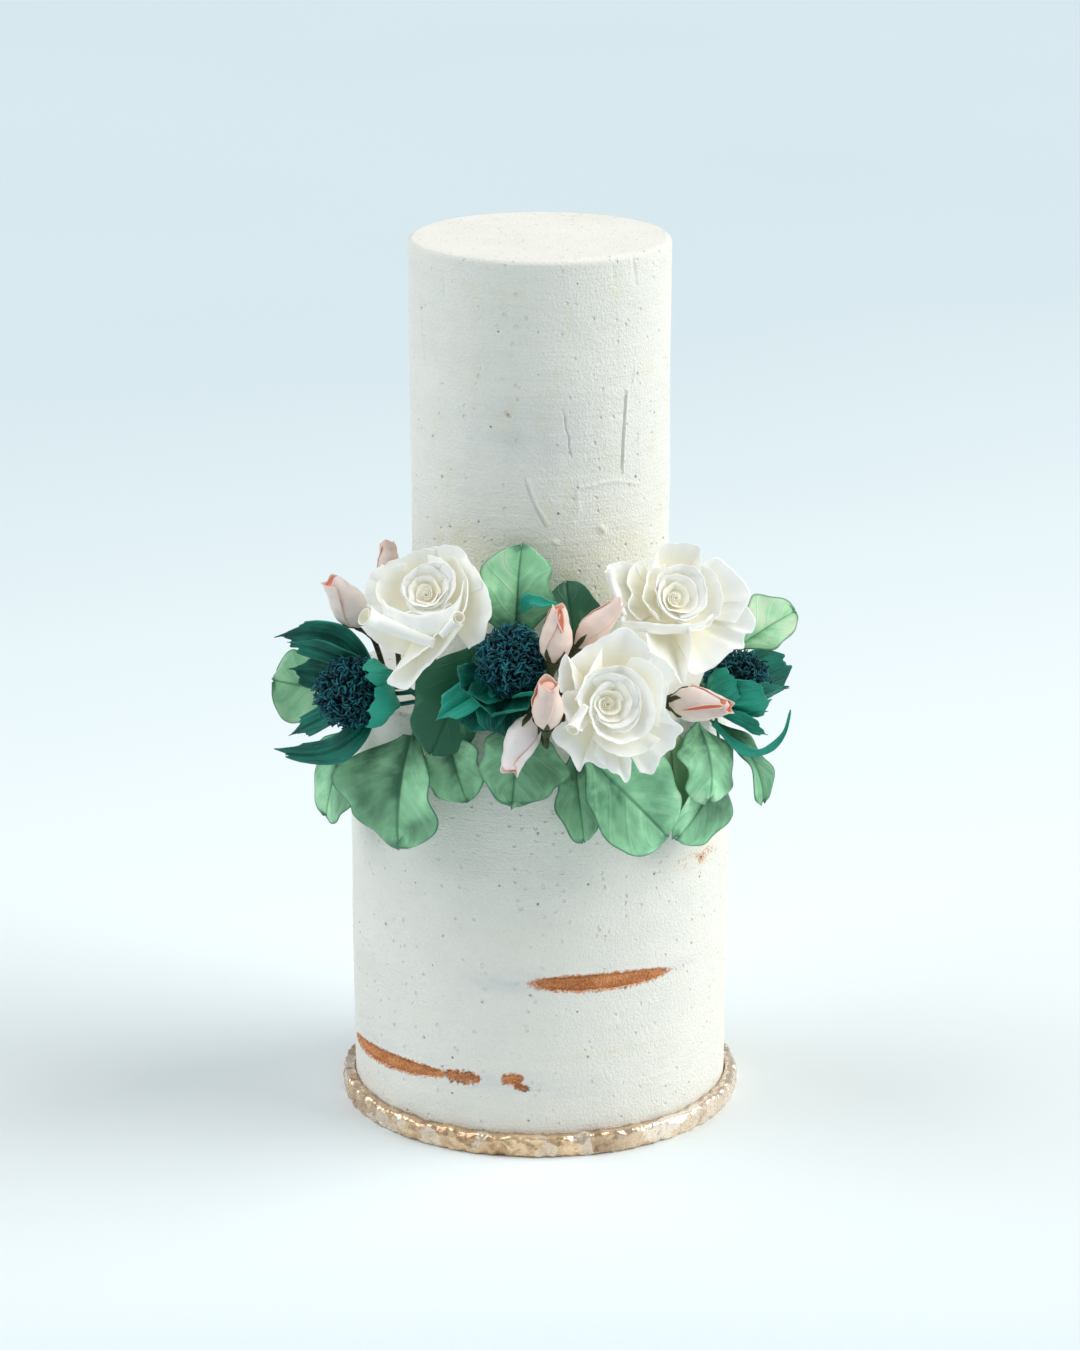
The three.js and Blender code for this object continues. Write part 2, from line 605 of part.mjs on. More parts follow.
// A leaf: its blade, and a narrow stalk in the same sheet that runs back to the ledge
const leaf = (spec) => {
  const blade = bladePoint(spec);
  const foot = vec(...spec.foot);
  const reach = Math.hypot(foot.x, foot.y);
  const rootReach = Math.min(reach - 4, STALK_REACH);
  const root = vec(foot.x * rootReach / reach, foot.y * rootReach / reach, ROOT_HEIGHT + 0.4);
  const bend = vec(mix(foot.x, root.x, 0.4), mix(foot.y, root.y, 0.4), Math.max(foot.z, ROOT_HEIGHT) + 2);
  const stalk = new THREE.CatmullRomCurve3([root, bend, blade(0, 0)]);
  const sideways = blade(1, 0).sub(blade(-1, 0)).normalize();
  return sheet((u, v) => {
    if (v >= STALK_SHARE - 1e-6) return blade(u, (v - STALK_SHARE) / (1 - STALK_SHARE));
    const here = stalk.getPoint(Math.max(v, 0) / STALK_SHARE);
    return here.add(sideways.clone().multiplyScalar(u * STALK_WIDTH / 2));
  }, 4, 7, LEAF_THICKNESS);
};

// The cake: uneven rings round the axis
const wobble = (turn, z) => 0.22 * Math.sin(2 * turn + z * 0.021) + 0.14 * Math.sin(5 * turn - z * 0.043);

const tier = (levels, sides) => {
  const rings = levels.map(([r, z]) => Array.from({ length: sides }, (_, k) => {
    const turn = 2 * Math.PI * k / sides;
    const reach = r + (r > 20 ? wobble(turn, z) : 0);
    return vec(reach * Math.cos(turn), reach * Math.sin(turn), z);
  }));
  return ringedSolid(vec(0, 0, levels[0][1]), rings, vec(0, 0, levels[levels.length - 1][1]));
};

const topTier = () => tier([
  [TOP_RADIUS + 0.2, LEDGE_HEIGHT + GAP],
  [TOP_RADIUS, 270],
  [TOP_RADIUS, TOTAL_HEIGHT - EDGE_ROUNDING],
  [TOP_RADIUS - EDGE_ROUNDING * 0.3, TOTAL_HEIGHT - EDGE_ROUNDING * 0.3],
  [TOP_RADIUS - EDGE_ROUNDING, TOTAL_HEIGHT],
], TIER_SIDES);

const bottomRadius = (z) => mix(BOTTOM_RADIUS_LOW, BOTTOM_RADIUS_HIGH, z / LEDGE_HEIGHT);

// Lens-shaped block with a ragged edge that reaches through the icing at a bare patch
const patchBlock = (patch, inner, outer, spread) => {
  const count = 12;
  const outline = Array.from({ length: count }, (_, k) => {
    const turn = 2 * Math.PI * k / count;
    const ragged = mix(0.82, 1.12, draw(patch.angle + k * 3.3));
    const sideways = Math.cos(turn) * (patch.length + spread * 0.75);
    const upwards = Math.sin(turn) * (patch.thick * ragged + spread);
    return [patch.angle + sideways, patch.height + upwards + patch.climb * Math.cos(turn)];
  });
  const at = (reach) => outline.map(([angle, z]) => vec(
    reach * Math.sin(rad(angle)),
    -reach * Math.cos(rad(angle)),
    z,
  ));
  const near = at(inner);
  const far = at(outer);
  const faces = [];
  for (let k = 0; k < count; k += 1) {
    const next = (k + 1) % count;
    faces.push([k, next, count + next], [k, count + next, count + k]);
  }
  const cap = THREE.ShapeUtils.triangulateShape(outline.map(([a, z]) => new THREE.Vector2(a, z)), []);
  cap.forEach(([a, b, c]) => {
    faces.push([a, b, c].map((i) => i + count));
    faces.push([a, c, b]);
  });
  return solidFrom([...near, ...far], faces);
};

const spongeLevels = (shrink, foot) => [
  [bottomRadius(0) - shrink, foot],
  [bottomRadius(90) - shrink, 90],
  [bottomRadius(LEDGE_HEIGHT) - shrink, LEDGE_HEIGHT - shrink],
];

const bottomSponge = () => {
  const core = tier(spongeLevels(ICING_THICKNESS + GAP, 0), TIER_SIDES);
  const face = (patch) => bottomRadius(patch.height) - 0.5;
  const showing = BARE_PATCHES.map((patch) => patchBlock(patch, PATCH_INNER, face(patch), 0));
  return joined([core, ...showing]);
};

const bottomIcing = () => {
  const shoulder = bottomRadius(LEDGE_HEIGHT - EDGE_ROUNDING);
  const outside = tier([
    [bottomRadius(0), SKIN_FOOT],
    [bottomRadius(90), 90],
    [shoulder, LEDGE_HEIGHT - EDGE_ROUNDING],
    [shoulder - EDGE_ROUNDING * 0.3, LEDGE_HEIGHT - EDGE_ROUNDING * 0.3],
    [shoulder - EDGE_ROUNDING, LEDGE_HEIGHT],
  ], TIER_SIDES);
  const inside = tier(spongeLevels(ICING_THICKNESS, SKIN_FOOT - 2), TIER_SIDES);
  const through = [PATCH_INNER - 2, BOTTOM_RADIUS_HIGH + 5];
  const windows = BARE_PATCHES.map((patch) => patchBlock(patch, ...through, GAP + 0.15));
  return windows.reduce((skin, window) => skin.subtract(window), outside.subtract(inside));
};

// The crumpled band of gold paste pressed round the foot
const goldBorder = () => {
  const section = [
    [BORDER_INNER, 0],
    [BORDER_OUTER - 0.6, 0],
    [BORDER_OUTER, 3],
    [BORDER_OUTER - 1.4, 7.4],
    [BORDER_INNER, BORDER_HEIGHT],
  ];
  const points = [];
  const faces = [];
  for (let k = 0; k < BORDER_SIDES; k += 1) {
    const turn = 2 * Math.PI * k / BORDER_SIDES;
    section.forEach(([r, z], j) => {
      const outer = r > BORDER_INNER;
      const lump = outer ? mix(-0.9, 0.9, draw(k * 6.7 + j * 2.3)) : 0;
      const swell = z > 5 ? mix(-1.1, 0.7, draw(k * 3.1 + j)) : 0;
      points.push(vec((r + lump) * Math.cos(turn), (r + lump) * Math.sin(turn), z + swell));
    });
    for (let j = 0; j < section.length; j += 1) {
      const nextJ = (j + 1) % section.length;
      const here = k * section.length;
      const beside = ((k + 1) % BORDER_SIDES) * section.length;
      faces.push([here + j, beside + j, beside + nextJ], [here + j, beside + nextJ, here + nextJ]);
    }
  }
  return solidFrom(points, faces);
};

// Finishes
const finish = (colour, roughness, metalness = 0) => ({ color: colour, roughness, metalness });
const FINISHES = {
  icing: finish(0xf1efe6, 0.62),
  sponge: finish(0xb8693f, 0.9),
  gold: finish(0xd1a574, 0.32, 0.85),
  white_petal: finish(0xf7f4e8, 0.55),
  pink_petal: finish(0xf0cdbc, 0.5),
  leaf_green: finish(0x5fa37a, 0.5),
  bract_teal: finish(0x0f6b5f, 0.55),
  fuzz_blue: finish(0x123f52, 0.85),
  calyx_green: finish(0x3c4630, 0.6),
};

const cake = new THREE.Group();
const placed = [];

const addMesh = (name, solid, finishName) => {
  const mesh = new THREE.Mesh(geometryFrom(solid), new THREE.MeshStandardMaterial(FINISHES[finishName]));
  mesh.name = name;
  cake.add(mesh);
};

const boxesMeet = (a, b) => [0, 1, 2].every((i) => a.min[i] <= b.max[i] && b.min[i] <= a.max[i]);

// A piece gives way to whatever was placed before it and keeps a small gap to it. The exception is
// the bud a calyx is built round, as its shape already clears it.
const addPiece = (name, solid, finishName, ownBud = '') => {
  const box = solid.boundingBox();
  const trimmed = placed
    .filter((other) => other.name !== ownBud && boxesMeet(box, other.box))
    .reduce((rest, other) => rest.subtract(other.cutter).subtract(other.solid), solid);
  const kept = largest(trimmed);
  const cutter = grown(kept, GAP + 0.1);
  placed.push({ name, solid: kept, cutter, box: cutter.boundingBox() });
  addMesh(name, kept, finishName);
};

addMesh('top_tier', topTier(), 'icing');
addMesh('bottom_sponge', bottomSponge(), 'sponge');
addMesh('bottom_icing', bottomIcing(), 'icing');
addMesh('gold_border', goldBorder(), 'gold');
// The room the cake takes with its gap, which every flower and leaf gives way to
const column = (low, high, bottom, top) => tier([[low, bottom], [high, top]], TIER_SIDES);
const cakeBody = joined([
  column(TOP_RADIUS + GAP + 0.4, TOP_RADIUS + GAP + 0.4, LEDGE_HEIGHT - 2, TOTAL_HEIGHT + 1),
  column(BOTTOM_RADIUS_LOW + GAP + 0.1, BOTTOM_RADIUS_HIGH + GAP + 0.1, 0, LEDGE_HEIGHT + GAP),
]);
placed.push({ name: 'cake', solid: cakeBody, cutter: cakeBody, box: cakeBody.boundingBox() });

Object.entries(ROSES).forEach(([name, spec]) => {
  const frame = flowerFrame(vec(...spec.heart), aim(...spec.aim));
  addPiece(name, rose(spec).transform(frame.toArray()), 'white_petal');
});
Object.entries(PROTEAS).forEach(([name, spec]) => {
  const frame = flowerFrame(vec(...spec.seat), aim(...spec.aim));
  const dome = fuzzyDome(spec.domeRadius, spec.domeDepth);
  addPiece(`${name}_dome`, dome.transform(frame.toArray()), 'fuzz_blue');
});
Object.entries(BUDS).forEach(([name, spec]) => addPiece(name, bud(spec), 'pink_petal'));
Object.entries(PROTEAS).forEach(([name, spec]) => {
  const frame = flowerFrame(vec(...spec.seat), aim(...spec.aim));
  const stalk = stem(vec(0, 0, -8).applyMatrix4(frame), vec(0, 0, -14).applyMatrix4(frame), spec.root);
  addPiece(`${name}_bracts`, bracts(spec, frame).add(stalk), 'bract_teal');
});
Object.entries(BUDS).forEach(([name, spec]) => addPiece(`${name}_calyx`, calyx(spec), 'calyx_green', name));
Object.entries(ROSES).forEach(([name, spec]) => {
  const frame = flowerFrame(vec(...spec.heart), aim(...spec.aim));
  const foot = vec(0, 0, -ROLL_DEPTH - GAP - 0.1).applyMatrix4(frame);
  const behind = vec(0, 0, -ROLL_DEPTH - 3.2).applyMatrix4(frame);
  addPiece(`${name}_stem`, stem(foot, behind, spec.root), 'calyx_green');
});
Object.entries(LEAVES).forEach(([name, spec]) => addPiece(name, leaf(spec), 'leaf_green'));

export default cake;
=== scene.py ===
"""A tiered wedding cake in thin buttercream, with sugar flowers on its ledge and a gold foot border."""
import math
from functools import partial

import bpy
from mathutils import Matrix, Vector, noise

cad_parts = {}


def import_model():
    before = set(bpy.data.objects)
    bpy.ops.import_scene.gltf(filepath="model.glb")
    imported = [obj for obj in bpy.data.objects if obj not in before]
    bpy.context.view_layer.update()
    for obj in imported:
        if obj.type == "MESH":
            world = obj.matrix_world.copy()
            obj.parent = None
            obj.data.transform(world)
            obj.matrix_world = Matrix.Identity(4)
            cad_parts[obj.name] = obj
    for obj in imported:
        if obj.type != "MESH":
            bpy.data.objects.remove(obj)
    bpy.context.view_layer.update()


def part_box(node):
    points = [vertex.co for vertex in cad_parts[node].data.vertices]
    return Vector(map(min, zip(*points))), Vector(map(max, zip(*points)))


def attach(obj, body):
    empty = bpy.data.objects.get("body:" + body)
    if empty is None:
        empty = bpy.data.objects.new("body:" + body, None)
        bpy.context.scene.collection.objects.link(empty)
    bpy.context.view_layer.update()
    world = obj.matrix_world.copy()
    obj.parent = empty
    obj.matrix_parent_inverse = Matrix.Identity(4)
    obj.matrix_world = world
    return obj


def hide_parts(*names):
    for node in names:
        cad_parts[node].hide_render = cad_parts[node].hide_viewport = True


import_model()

bl_info = {
    "name": "Wedding cake with sugar flowers",
    "version": (1, 0, 0),
    "blender": (4, 5, 0),
    "location": "3D View > Sidebar > Cake",
    "description": "Dresses the solid cake with buttercream, sponge, gold paste, sugar flowers and leaves",
    "category": "Object",
}

# Shapes are worked out in millimetres and stored in metres.
MM = 0.001


def top_of(node):
    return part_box(node)[1][2] / MM


def foot_of(node):
    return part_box(node)[0][2] / MM


def record(fields, *values, **others):
    """Values under the names of their fields, with any others by name."""
    return {**dict(zip(fields.split(), values)), **others}


# Sizes read from the frame
TOTAL_HEIGHT = top_of("top_tier")
LEDGE_HEIGHT = top_of("bottom_icing")
SKIN_FOOT = foot_of("bottom_icing")
ROOT_CLEAR = 0.2
ROOT_HEIGHT = foot_of("top_tier") + ROOT_CLEAR

# Sizes of the cake, as in the solids
TOP_RADIUS = 52.3
BOTTOM_RADIUS_LOW = 77.2
BOTTOM_RADIUS_HIGH = 78.5
ICING_THICKNESS = 2.4
EDGE_ROUNDING = 2.2
BORDER_HEIGHT = 9
BORDER_INNER = 77.9
BORDER_OUTER = 82.6
STALK_REACH = 72

# Wires, a little thinner than the faceted ones of the solids, and the thinner ones left bare
WIRE_RADIUS = 1.1
WIRE_SHOWN_RADIUS = 0.9

# Rings of points: where a round ends short of its start, how an upper edge turns over, the shares
# of a flat top's radius that carry rings, and the spread of the studio floor
ROUND_END = 179.9
ROUNDING_TURNS = (18, 40, 62, 82)
CAP_SHARES = (0.985, 0.93, 0.84, 0.72, 0.58, 0.42, 0.24, 0.08)
FLOOR_INNER = 2000.0
FLOOR_OUTER = 30000.0
FLOOR_THICKNESS = 3.0

# Steps of the icing's grid upwards and round, and the spans where marks or bare sponge need finer ones
TOP_ROWS = (1.1, [(248, 310, 0.6)])
TOP_COLUMNS = (2.4, [(-76, 58, 0.66), (-7.5, 4, 0.34), (9, 14.5, 0.24), (36.5, 42, 0.24)])
BOTTOM_ROWS = (1.6, [(22, 37, 0.45), (66, 78, 0.45)])
BOTTOM_COLUMNS = (2.0, [(-80, 62, 0.6)])
BORDER_COLUMN = 0.55

# Columns and rows of each thin sheet, and sides and steps of a wire
OUTER_PETAL_GRID = (40, 26)
INNER_PETAL_GRID = (34, 16)
SCROLL_GRID = (40, 20)
EYE_GRID = (80, 10)
WRAP_GRID = (34, 34)
SLIT_GRID = (12, 24)
SEPAL_GRID = (8, 12)
BRACT_GRID = (22, 30)
RIBBON_GRID = (8, 44)
LEAF_GRID = (40, 48)
WIRE_GRID = (10, 22)
STALK_GRID = (8, 18)

# Broad lights: the way to each, its spread in degrees, its strength and its colour
LIGHTS = {
    "window_right": record("direction spread strength colour", (1.0, -0.05, 0.74), 54, 2.7,
                           (1.0, 0.985, 0.955)),
    "window_left": record("direction spread strength colour", (-1.0, -0.05, 0.98), 58, 1.70,
                          (0.96, 0.98, 1.0)),
}

# Strength of the light from all round, width of the camera's sensor in millimetres and how far it
# sees in metres
AIR_STRENGTH = 0.34
SENSOR_WIDTH = 36
SIGHT = 30

# How deep the icing is scraped away over bare sponge, how deep the crumb lies behind the tier's
# side, how thick it is made, the step between its points, how far it reaches past a patch along
# and across it, and the sponge's gap to the icing skin
SCRAPED_DEPTH = 1.7
CRUMB_SINK = 1.85
CRUMB_THICKNESS = 2.0
CRUMB_STEP = 0.5
CRUMB_ALONG = 1.25
CRUMB_ACROSS = 1.7
SPONGE_GAP = 0.4

# Bare sponge: angle from the front, height, half thickness, half length in degrees, climb to the
# right, how ragged it is, and how much of it is broken up by icing
BARE_PATCHES = [record("angle height thick length climb ragged broken", *row) for row in (
    (19.6, 72.6, 3.1, 21, -0.8, 0.5, 0),
    (-54, 28.3, 2.9, 24, 2.0, 0.6, 0),
    (-24, 30.6, 2.6, 6, 0, 1.0, 0.42),
    (-8.3, 31.9, 2.1, 3.2, 0.4, 0.9, 0.1),
    (-5.6, 28.4, 1.5, 2.6, -0.6, 1.0, 0.45),
)]

# Stains in the icing: which tone they carry (0 brown, 1 thin and bluish, 2 yellowish), where,
# half length in degrees, half height, strength and how far they climb to the right
STAINS = [record("tone angle height length thick strength climb", *row) for row in (
    (1, -8, 73.4, 17, 5.0, 0.55, 0),
    (1, 45, 73, 12, 3.0, 0.35, 0),
    (1, -10, 30, 20, 4.6, 0.5, -1),
    (1, -58, 34, 16, 3.5, 0.35, 2),
    (0, 56, 116, 15, 5.5, 0.8, -2),
    (2, 57, 116, 16, 6.0, 0.3, -2),
    (0, -76, 29.5, 7, 3.4, 0.4, 0),
    (2, 21, 42, 17, 1.8, 0.5, 1.2),
    (2, 4, 92, 20, 5.0, 0.2, 1),
)]

# Marks of the scraper on each tier: half width, relief, and path in degrees and height
TOP_MARKS = [record("width relief path", *row) for row in (
    (0.3, -0.85, [(39.9, 306), (38.6, 290), (37.9, 277)]),
    (0.5, 0.55, [(40.9, 308), (39.6, 290), (38.9, 275)]),
    (0.45, 0.45, [(39.9, 308), (44.5, 310), (45.5, 317)]),
    (0.6, 0.35, [(17, 262), (16, 271), (33, 272.5), (49, 269)]),
    (0.35, -0.55, [(-6.5, 275), (-3, 266), (2.2, 256)]),
    (0.7, 0.3, [(-5.2, 274), (-1.8, 265), (3.4, 257)]),
    (0.28, -0.7, [(10.6, 299.5), (11.2, 295), (12.6, 291), (12.4, 288), (13.6, 284)]),
    (0.3, -0.3, [(9.6, 303), (10.6, 299.5)]),
    (1.0, 0.4, [(-65, 343), (-63, 331), (-61, 318)]),
    (0.8, -0.3, [(-46, 352), (-45, 345)]),
    (0.6, -0.45, [(44, 360), (46, 350)]),
    (0.5, -0.3, [(33, 359), (33.6, 353)]),
    (1.1, 0.7, [(27, 254.5), (29, 252.5)]),
    (0.8, -1.0, [(-14.6, 301.2), (-12.8, 300)]),
    (0.8, 0.5, [(6, 250), (7.5, 249)]),
)]
BOTTOM_MARKS = [record("width relief path", *row) for row in (
    (0.7, 0.25, [(33, 96), (48, 95)]),
    (0.8, 0.22, [(-34, 60), (-12, 59.5), (6, 60.5)]),
    (0.7, -0.6, [(24.4, 57), (25.4, 55.6)]),
    (1.4, 0.25, [(-70, 92), (-60, 80)]),
    (1.0, 0.3, [(50, 112), (62, 117)]),
)]

# Roses: every outer petal has the share of the rim's reach that it bellies out to, how far down the
# belly lies, how far the rim rolls back, and the run of its rim in the flower's own frame. A skirt
# moves the belly aside. Inner petals go from a first to a last reach in a count, and drift aside.
# Scrolls are rolled edges: a path and the radii at its open and at its dying end. The depths are
# those of the deepest petal's foot and of the swell behind the petals.
PETAL_DEPTH = -15
ROLL_DEPTH = 20.8
GOLDEN_TURN = 137.5

rimmed = partial(record, "belly drop lip rim", skirt=(0, 0))

ROSES = {
    "rose_left": {
        "heart": (-44.9, -72, 234.4), "aim": (-14, 30), "root": (-44, -50), "swell": 0.9, "shift": 0,
        "inner": (2.4, 11.4, 9), "drift": (0.6, 2.2),
        "petals": [
            rimmed(0.86, 4.5, 0.35, [(8.8, 1.8, 0.5), (9.3, 7.7, 1), (6.9, 11.6, 1), (2, 11.9, 1),
                   (-3.9, 9.5, 1), (-7.8, 5, 0.5), (-8.4, 0.8, 0)]),
            rimmed(0.86, 4.5, 0.35, [(-9.3, 3.3, 0.5), (-7.9, -1.3, 1), (-4.3, -4.7, 1.6), (1.3, -5.4, 2),
                   (5.8, -3.3, 1.6), (8.5, 1.7, 1), (8.7, 6.2, 0.5)]),
            rimmed(1.0, 6, 0.5, [(-17, -3, 0), (-12.2, -6.6, 1.5), (-5.2, -8.6, 2.5), (2, -8.6, 3),
                   (8.1, -6.8, 2.5), (12.7, -3, 1.5), (14.7, 2.8, 0.5), (14.5, 7.2, 0)], skirt=(0, -15)),
            rimmed(1.05, 7, 0.35, [(-9.5, 11, 0), (-15.1, 8.5, 0), (-19, 3.3, 0), (-19.2, -2.2, 0.5),
                   (-16.4, -6.2, 1), (-12.1, -8.3, 1)]),
            rimmed(1.05, 7, 0.35, [(2.5, 14.5, 0), (8.4, 14.9, 0), (12.7, 11.4, 0), (16, 5, 0.5),
                   (16.7, -1.5, 1), (15.3, -7.5, 1), (12, -11, 1)]),
            rimmed(0.95, 5, 0, [(-24.5, -14.4, -2), (-20.6, -18.4, -4), (-15.3, -21.9, -6),
                   (-9.4, -23.4, -7), (-3, -23.8, -8), (4.2, -21.6, -8)]),
            rimmed(0.9, 3, 0, [(7.9, -13.3, 0.5), (3.6, -22.1, -0.5), (-4.4, -28.4, -1.5),
                   (-11.6, -35.4, -4), (-3.4, -37.6, -4.5), (3.2, -29.4, -2.5), (9.6, -22.6, -2),
                   (16.5, -11.2, -0.5)]),
            rimmed(0.85, 4, 0.3, [(-1.7, 18.4, -2), (4.7, 19.7, -1.5), (11.3, 19.3, -1.5),
                   (16.2, 13.8, -2), (20.2, 7.9, -3), (21.2, 4.4, -4)]),
            rimmed(0.85, 4, 0.3, [(16.9, 12.8, -4), (21.6, 7, -3.5), (25.3, 0.1, -3), (26.5, -5, -3.5),
                   (25.4, -10.9, -4), (24.2, -16.1, -5), (18.5, -19.5, -6)]),
            rimmed(0.85, 4, 0.3, [(3, 18.1, -3), (-1.7, 18, -2), (-7.9, 16, -2), (-14, 12.9, -2),
                   (-20.2, 9.3, -2.5), (-23.1, 4.5, -3.5)]),
            rimmed(0.85, 4, 0.3, [(-19.8, 11.4, -4), (-22.8, 7.7, -3), (-24.5, 2.5, -2.5),
                   (-24.2, -2.9, -2.5), (-20.9, -6.8, -3), (-15.9, -8.9, -4)]),
        ],
        "scrolls": [([(-21.0, -12.6, 8), (-15.0, -14.2, 2), (5.6, -19.4, -2.5)], 4.6, 2.0),
                    ([(16.8, -10.6, 7), (14.6, -10.4, 2.8), (8.9, -16.8, 1.0)], 2.7, 1.3)],
    },
    "rose_front": {
        "heart": (26.2, -106, 199.6), "aim": (5, 18), "root": (22, -66), "swell": 1, "shift": 35,
        "inner": (2.4, 10.6, 9), "drift": (2.2, 0.2),
        "petals": [
            rimmed(0.86, 4.5, 0.4, [(2.8, 14.3, 0.5), (8.5, 13.2, 1), (13.5, 8.7, 1.2), (16.2, 3, 1.2),
                   (17.4, -3.9, 1), (15.7, -10.1, 0.8), (11.6, -13.9, 0.5)]),
            rimmed(0.86, 4.5, 0.4, [(15.1, -9.3, 0), (11.1, -13.6, 0.8), (5, -15.3, 1.2),
                   (-0.5, -13.6, 1.2), (-4.8, -9.9, 1), (-6.8, -4.9, 0.5)]),
            rimmed(0.86, 4.5, 0.4, [(-10, -2.7, 0.5), (-11.2, 2.3, 1), (-9.8, 7.2, 1.2),
                   (-5.3, 11.6, 1.2), (0.8, 14, 1), (7.5, 13.5, 0.5)]),
            rimmed(0.86, 4.5, 0.4, [(5.2, 11.2, 0.2), (11.1, 6.1, 0.8), (12.4, -1.1, 1), (10.5, -7, 1),
                   (6.2, -10.5, 0.6), (1.3, -10.6, 0.2)]),
            rimmed(0.85, 3, 0.3, [(-16.9, 13.4, -3), (-13.6, 17.7, -2), (-8, 21.6, -1.5),
                   (-0.8, 25.8, -1.5), (7.5, 29.1, -1.5), (12.4, 25.3, -2), (16.8, 21.3, -3),
                   (17.9, 15.3, -4)]),
            rimmed(0.95, 6, 0.3, [(-1.9, 21.6, 3), (-5.2, 16.2, 4), (-8.3, 10.9, 4), (-10.9, 6.1, 3.5),
                   (-12.5, 1.7, 2.5)]),
            rimmed(0.9, 4, 0.3, [(-18.2, 5, -1), (-18.8, 11.2, 0), (-16.7, 19.1, 1), (-15, 18.2, 1.5),
                   (-13.2, 11.1, 1.5), (-12, 4.8, 1)]),
            rimmed(0.86, 4.5, 0.3, [(-10.8, 5.6, 0), (-15.7, 4.9, -1), (-17.9, 1.9, -1),
                   (-16.7, -3, -0.5), (-14.5, -7.4, 0), (-10.2, -10.3, 0.5)]),
            rimmed(0.8, 3, 0.4, [(15.3, 19.8, -4), (18.4, 18.8, -3), (23.3, 15.4, -3), (26.7, 11, -3),
                   (23.8, 6.4, -3), (22.4, 0.9, -3.5), (22.3, -5.1, -4)]),
            rimmed(0.9, 4, 0.35, [(9.5, 17.7, -2), (14.8, 16.4, -1), (20.2, 11.9, -1), (21.4, 5.3, -1.5),
                   (20.5, -2.3, -2), (19.3, -9.4, -3)]),
            rimmed(0.8, 3, 0.4, [(22.4, -2.3, -4), (24.7, -6.2, -4), (29, -10.2, -4.5), (26.3, -13.9, -5),
                   (25.4, -17.5, -5), (20.3, -20.7, -5), (17.3, -26.9, -6), (12, -26.2, -6)]),
            rimmed(0.8, 3, 0.4, [(-5.6, -19.1, -4), (-0.7, -24.7, -5), (4.2, -27.3, -5),
                   (6.3, -30.2, -5.5), (8.1, -28.3, -5.5), (8.8, -21.7, -4)]),
            rimmed(0.8, 3, 0.4, [(-21.6, -8.3, -4), (-20.8, -13.2, -4.5), (-15.4, -17.8, -5),
                   (-11.3, -25.3, -6), (-8.3, -21.8, -5.5), (-1.3, -24.7, -5), (3.1, -25.4, -5)]),
            rimmed(0.9, 4, 0.35, [(-5.7, -13.1, -1), (-1.5, -17.6, -1), (6.2, -20.3, -1.5),
                   (14, -18.6, -2), (19.7, -13.8, -2.5)]),
        ],
        "scrolls": [([(-14.6, -9.9, 5.2), (-12.5, -6.2, 2.4), (-8.6, -0.4, 1.6)], 2.9, 1.3)],
    },
    "rose_right": {
        "heart": (53.7, -68, 231.7), "aim": (20, 30), "root": (46, -48), "swell": 1, "shift": 80,
        "inner": (2.4, 10.4, 8), "drift": (1.2, 0.6),
        "petals": [
            rimmed(0.86, 4.5, 0.35, [(11.5, -0.4, 0.5), (12.4, 6.2, 1), (8.2, 11, 1.2), (1.1, 12.4, 1.2),
                   (-5.5, 9.7, 1), (-7.8, 4.7, 0.5)]),
            rimmed(0.86, 4.5, 0.35, [(-7.6, 7.1, 0.3), (-8.3, -0.1, 0.8), (-6, -6.4, 1.2),
                   (0.5, -9.8, 1.4), (7.1, -7.7, 1.2), (11.8, -2.1, 0.8), (12.9, 2.8, 0.3)]),
            rimmed(1.0, 6, 0.35, [(-1.8, 13.2, -1), (-9.4, 11, 0.2), (-11.8, 6.4, 1.8), (-14, 1.2, 0.6),
                   (-11.6, -4, 1.6), (-8.6, -8.6, 0.4)]),
            rimmed(1.0, 6, 0.35, [(-9.5, 16.8, -2), (-16.2, 13.6, -0.4), (-18.4, 8.8, -1.6),
                   (-17.8, 3.8, 0.8), (-20.4, -1.4, -0.4), (-16.7, -7.9, 0.8)]),
            rimmed(0.95, 5, 0.3, [(-6.8, 13.7, -2), (-4.7, 17.5, -1.5), (-2.4, 21.4, -1), (4.8, 21.5, -1),
                   (12.9, 19.7, -1), (13.6, 14.6, -1.5), (11.6, 8.3, -2)]),
            rimmed(0.8, 3, 0.4, [(12, 8.3, -2), (14, 12.3, -2), (20.2, 14.4, -2), (25.2, 9.1, -2),
                   (31.4, 1.4, -2.5), (28.7, -5.7, -3), (23.1, -12.1, -4)]),
            rimmed(0.95, 5, 0.35, [(13.4, 11.9, -0.5), (17.8, 6.6, 0), (18.8, -0.7, 0), (16.3, -7.7, 0),
                   (10.2, -13, 0), (2.6, -14.1, 0)]),
            rimmed(0.8, 3, 0.4, [(26.1, -2.8, -4), (29.2, -5.6, -3.5), (32, -10.4, -3.5),
                   (30.1, -15.8, -4), (26.9, -16.6, -4), (25.9, -21.7, -5), (20.2, -22.5, -5),
                   (9.3, -29.3, -6), (2.4, -29.4, -6), (0.7, -23.9, -5)]),
            rimmed(0.9, 3, 0.3, [(-15.7, -13.4, 0), (-13.6, -22, -2), (-7, -26.4, -4), (-3.9, -31.5, -5),
                   (-1.8, -33.9, -6), (-0.5, -32.1, -5), (1.1, -25.6, -3), (3.1, -18, -1),
                   (2.3, -11.8, 0.5)]),
            rimmed(0.85, 4, 0.3, [(-20.2, -12.7, -1), (-24.2, -9.7, -2), (-22.9, -1, -1.5),
                   (-24.6, 6.1, -1), (-26.7, 11.1, -1), (-25.5, 15.3, -1.5), (-19.8, 16.7, -2),
                   (-13.2, 15, -2.5)]),
            rimmed(1.0, 6, 0.6, [(-24.2, -6.8, 0.5), (-16.4, -8.6, 1.2), (-8.3, -10.4, 1.5),
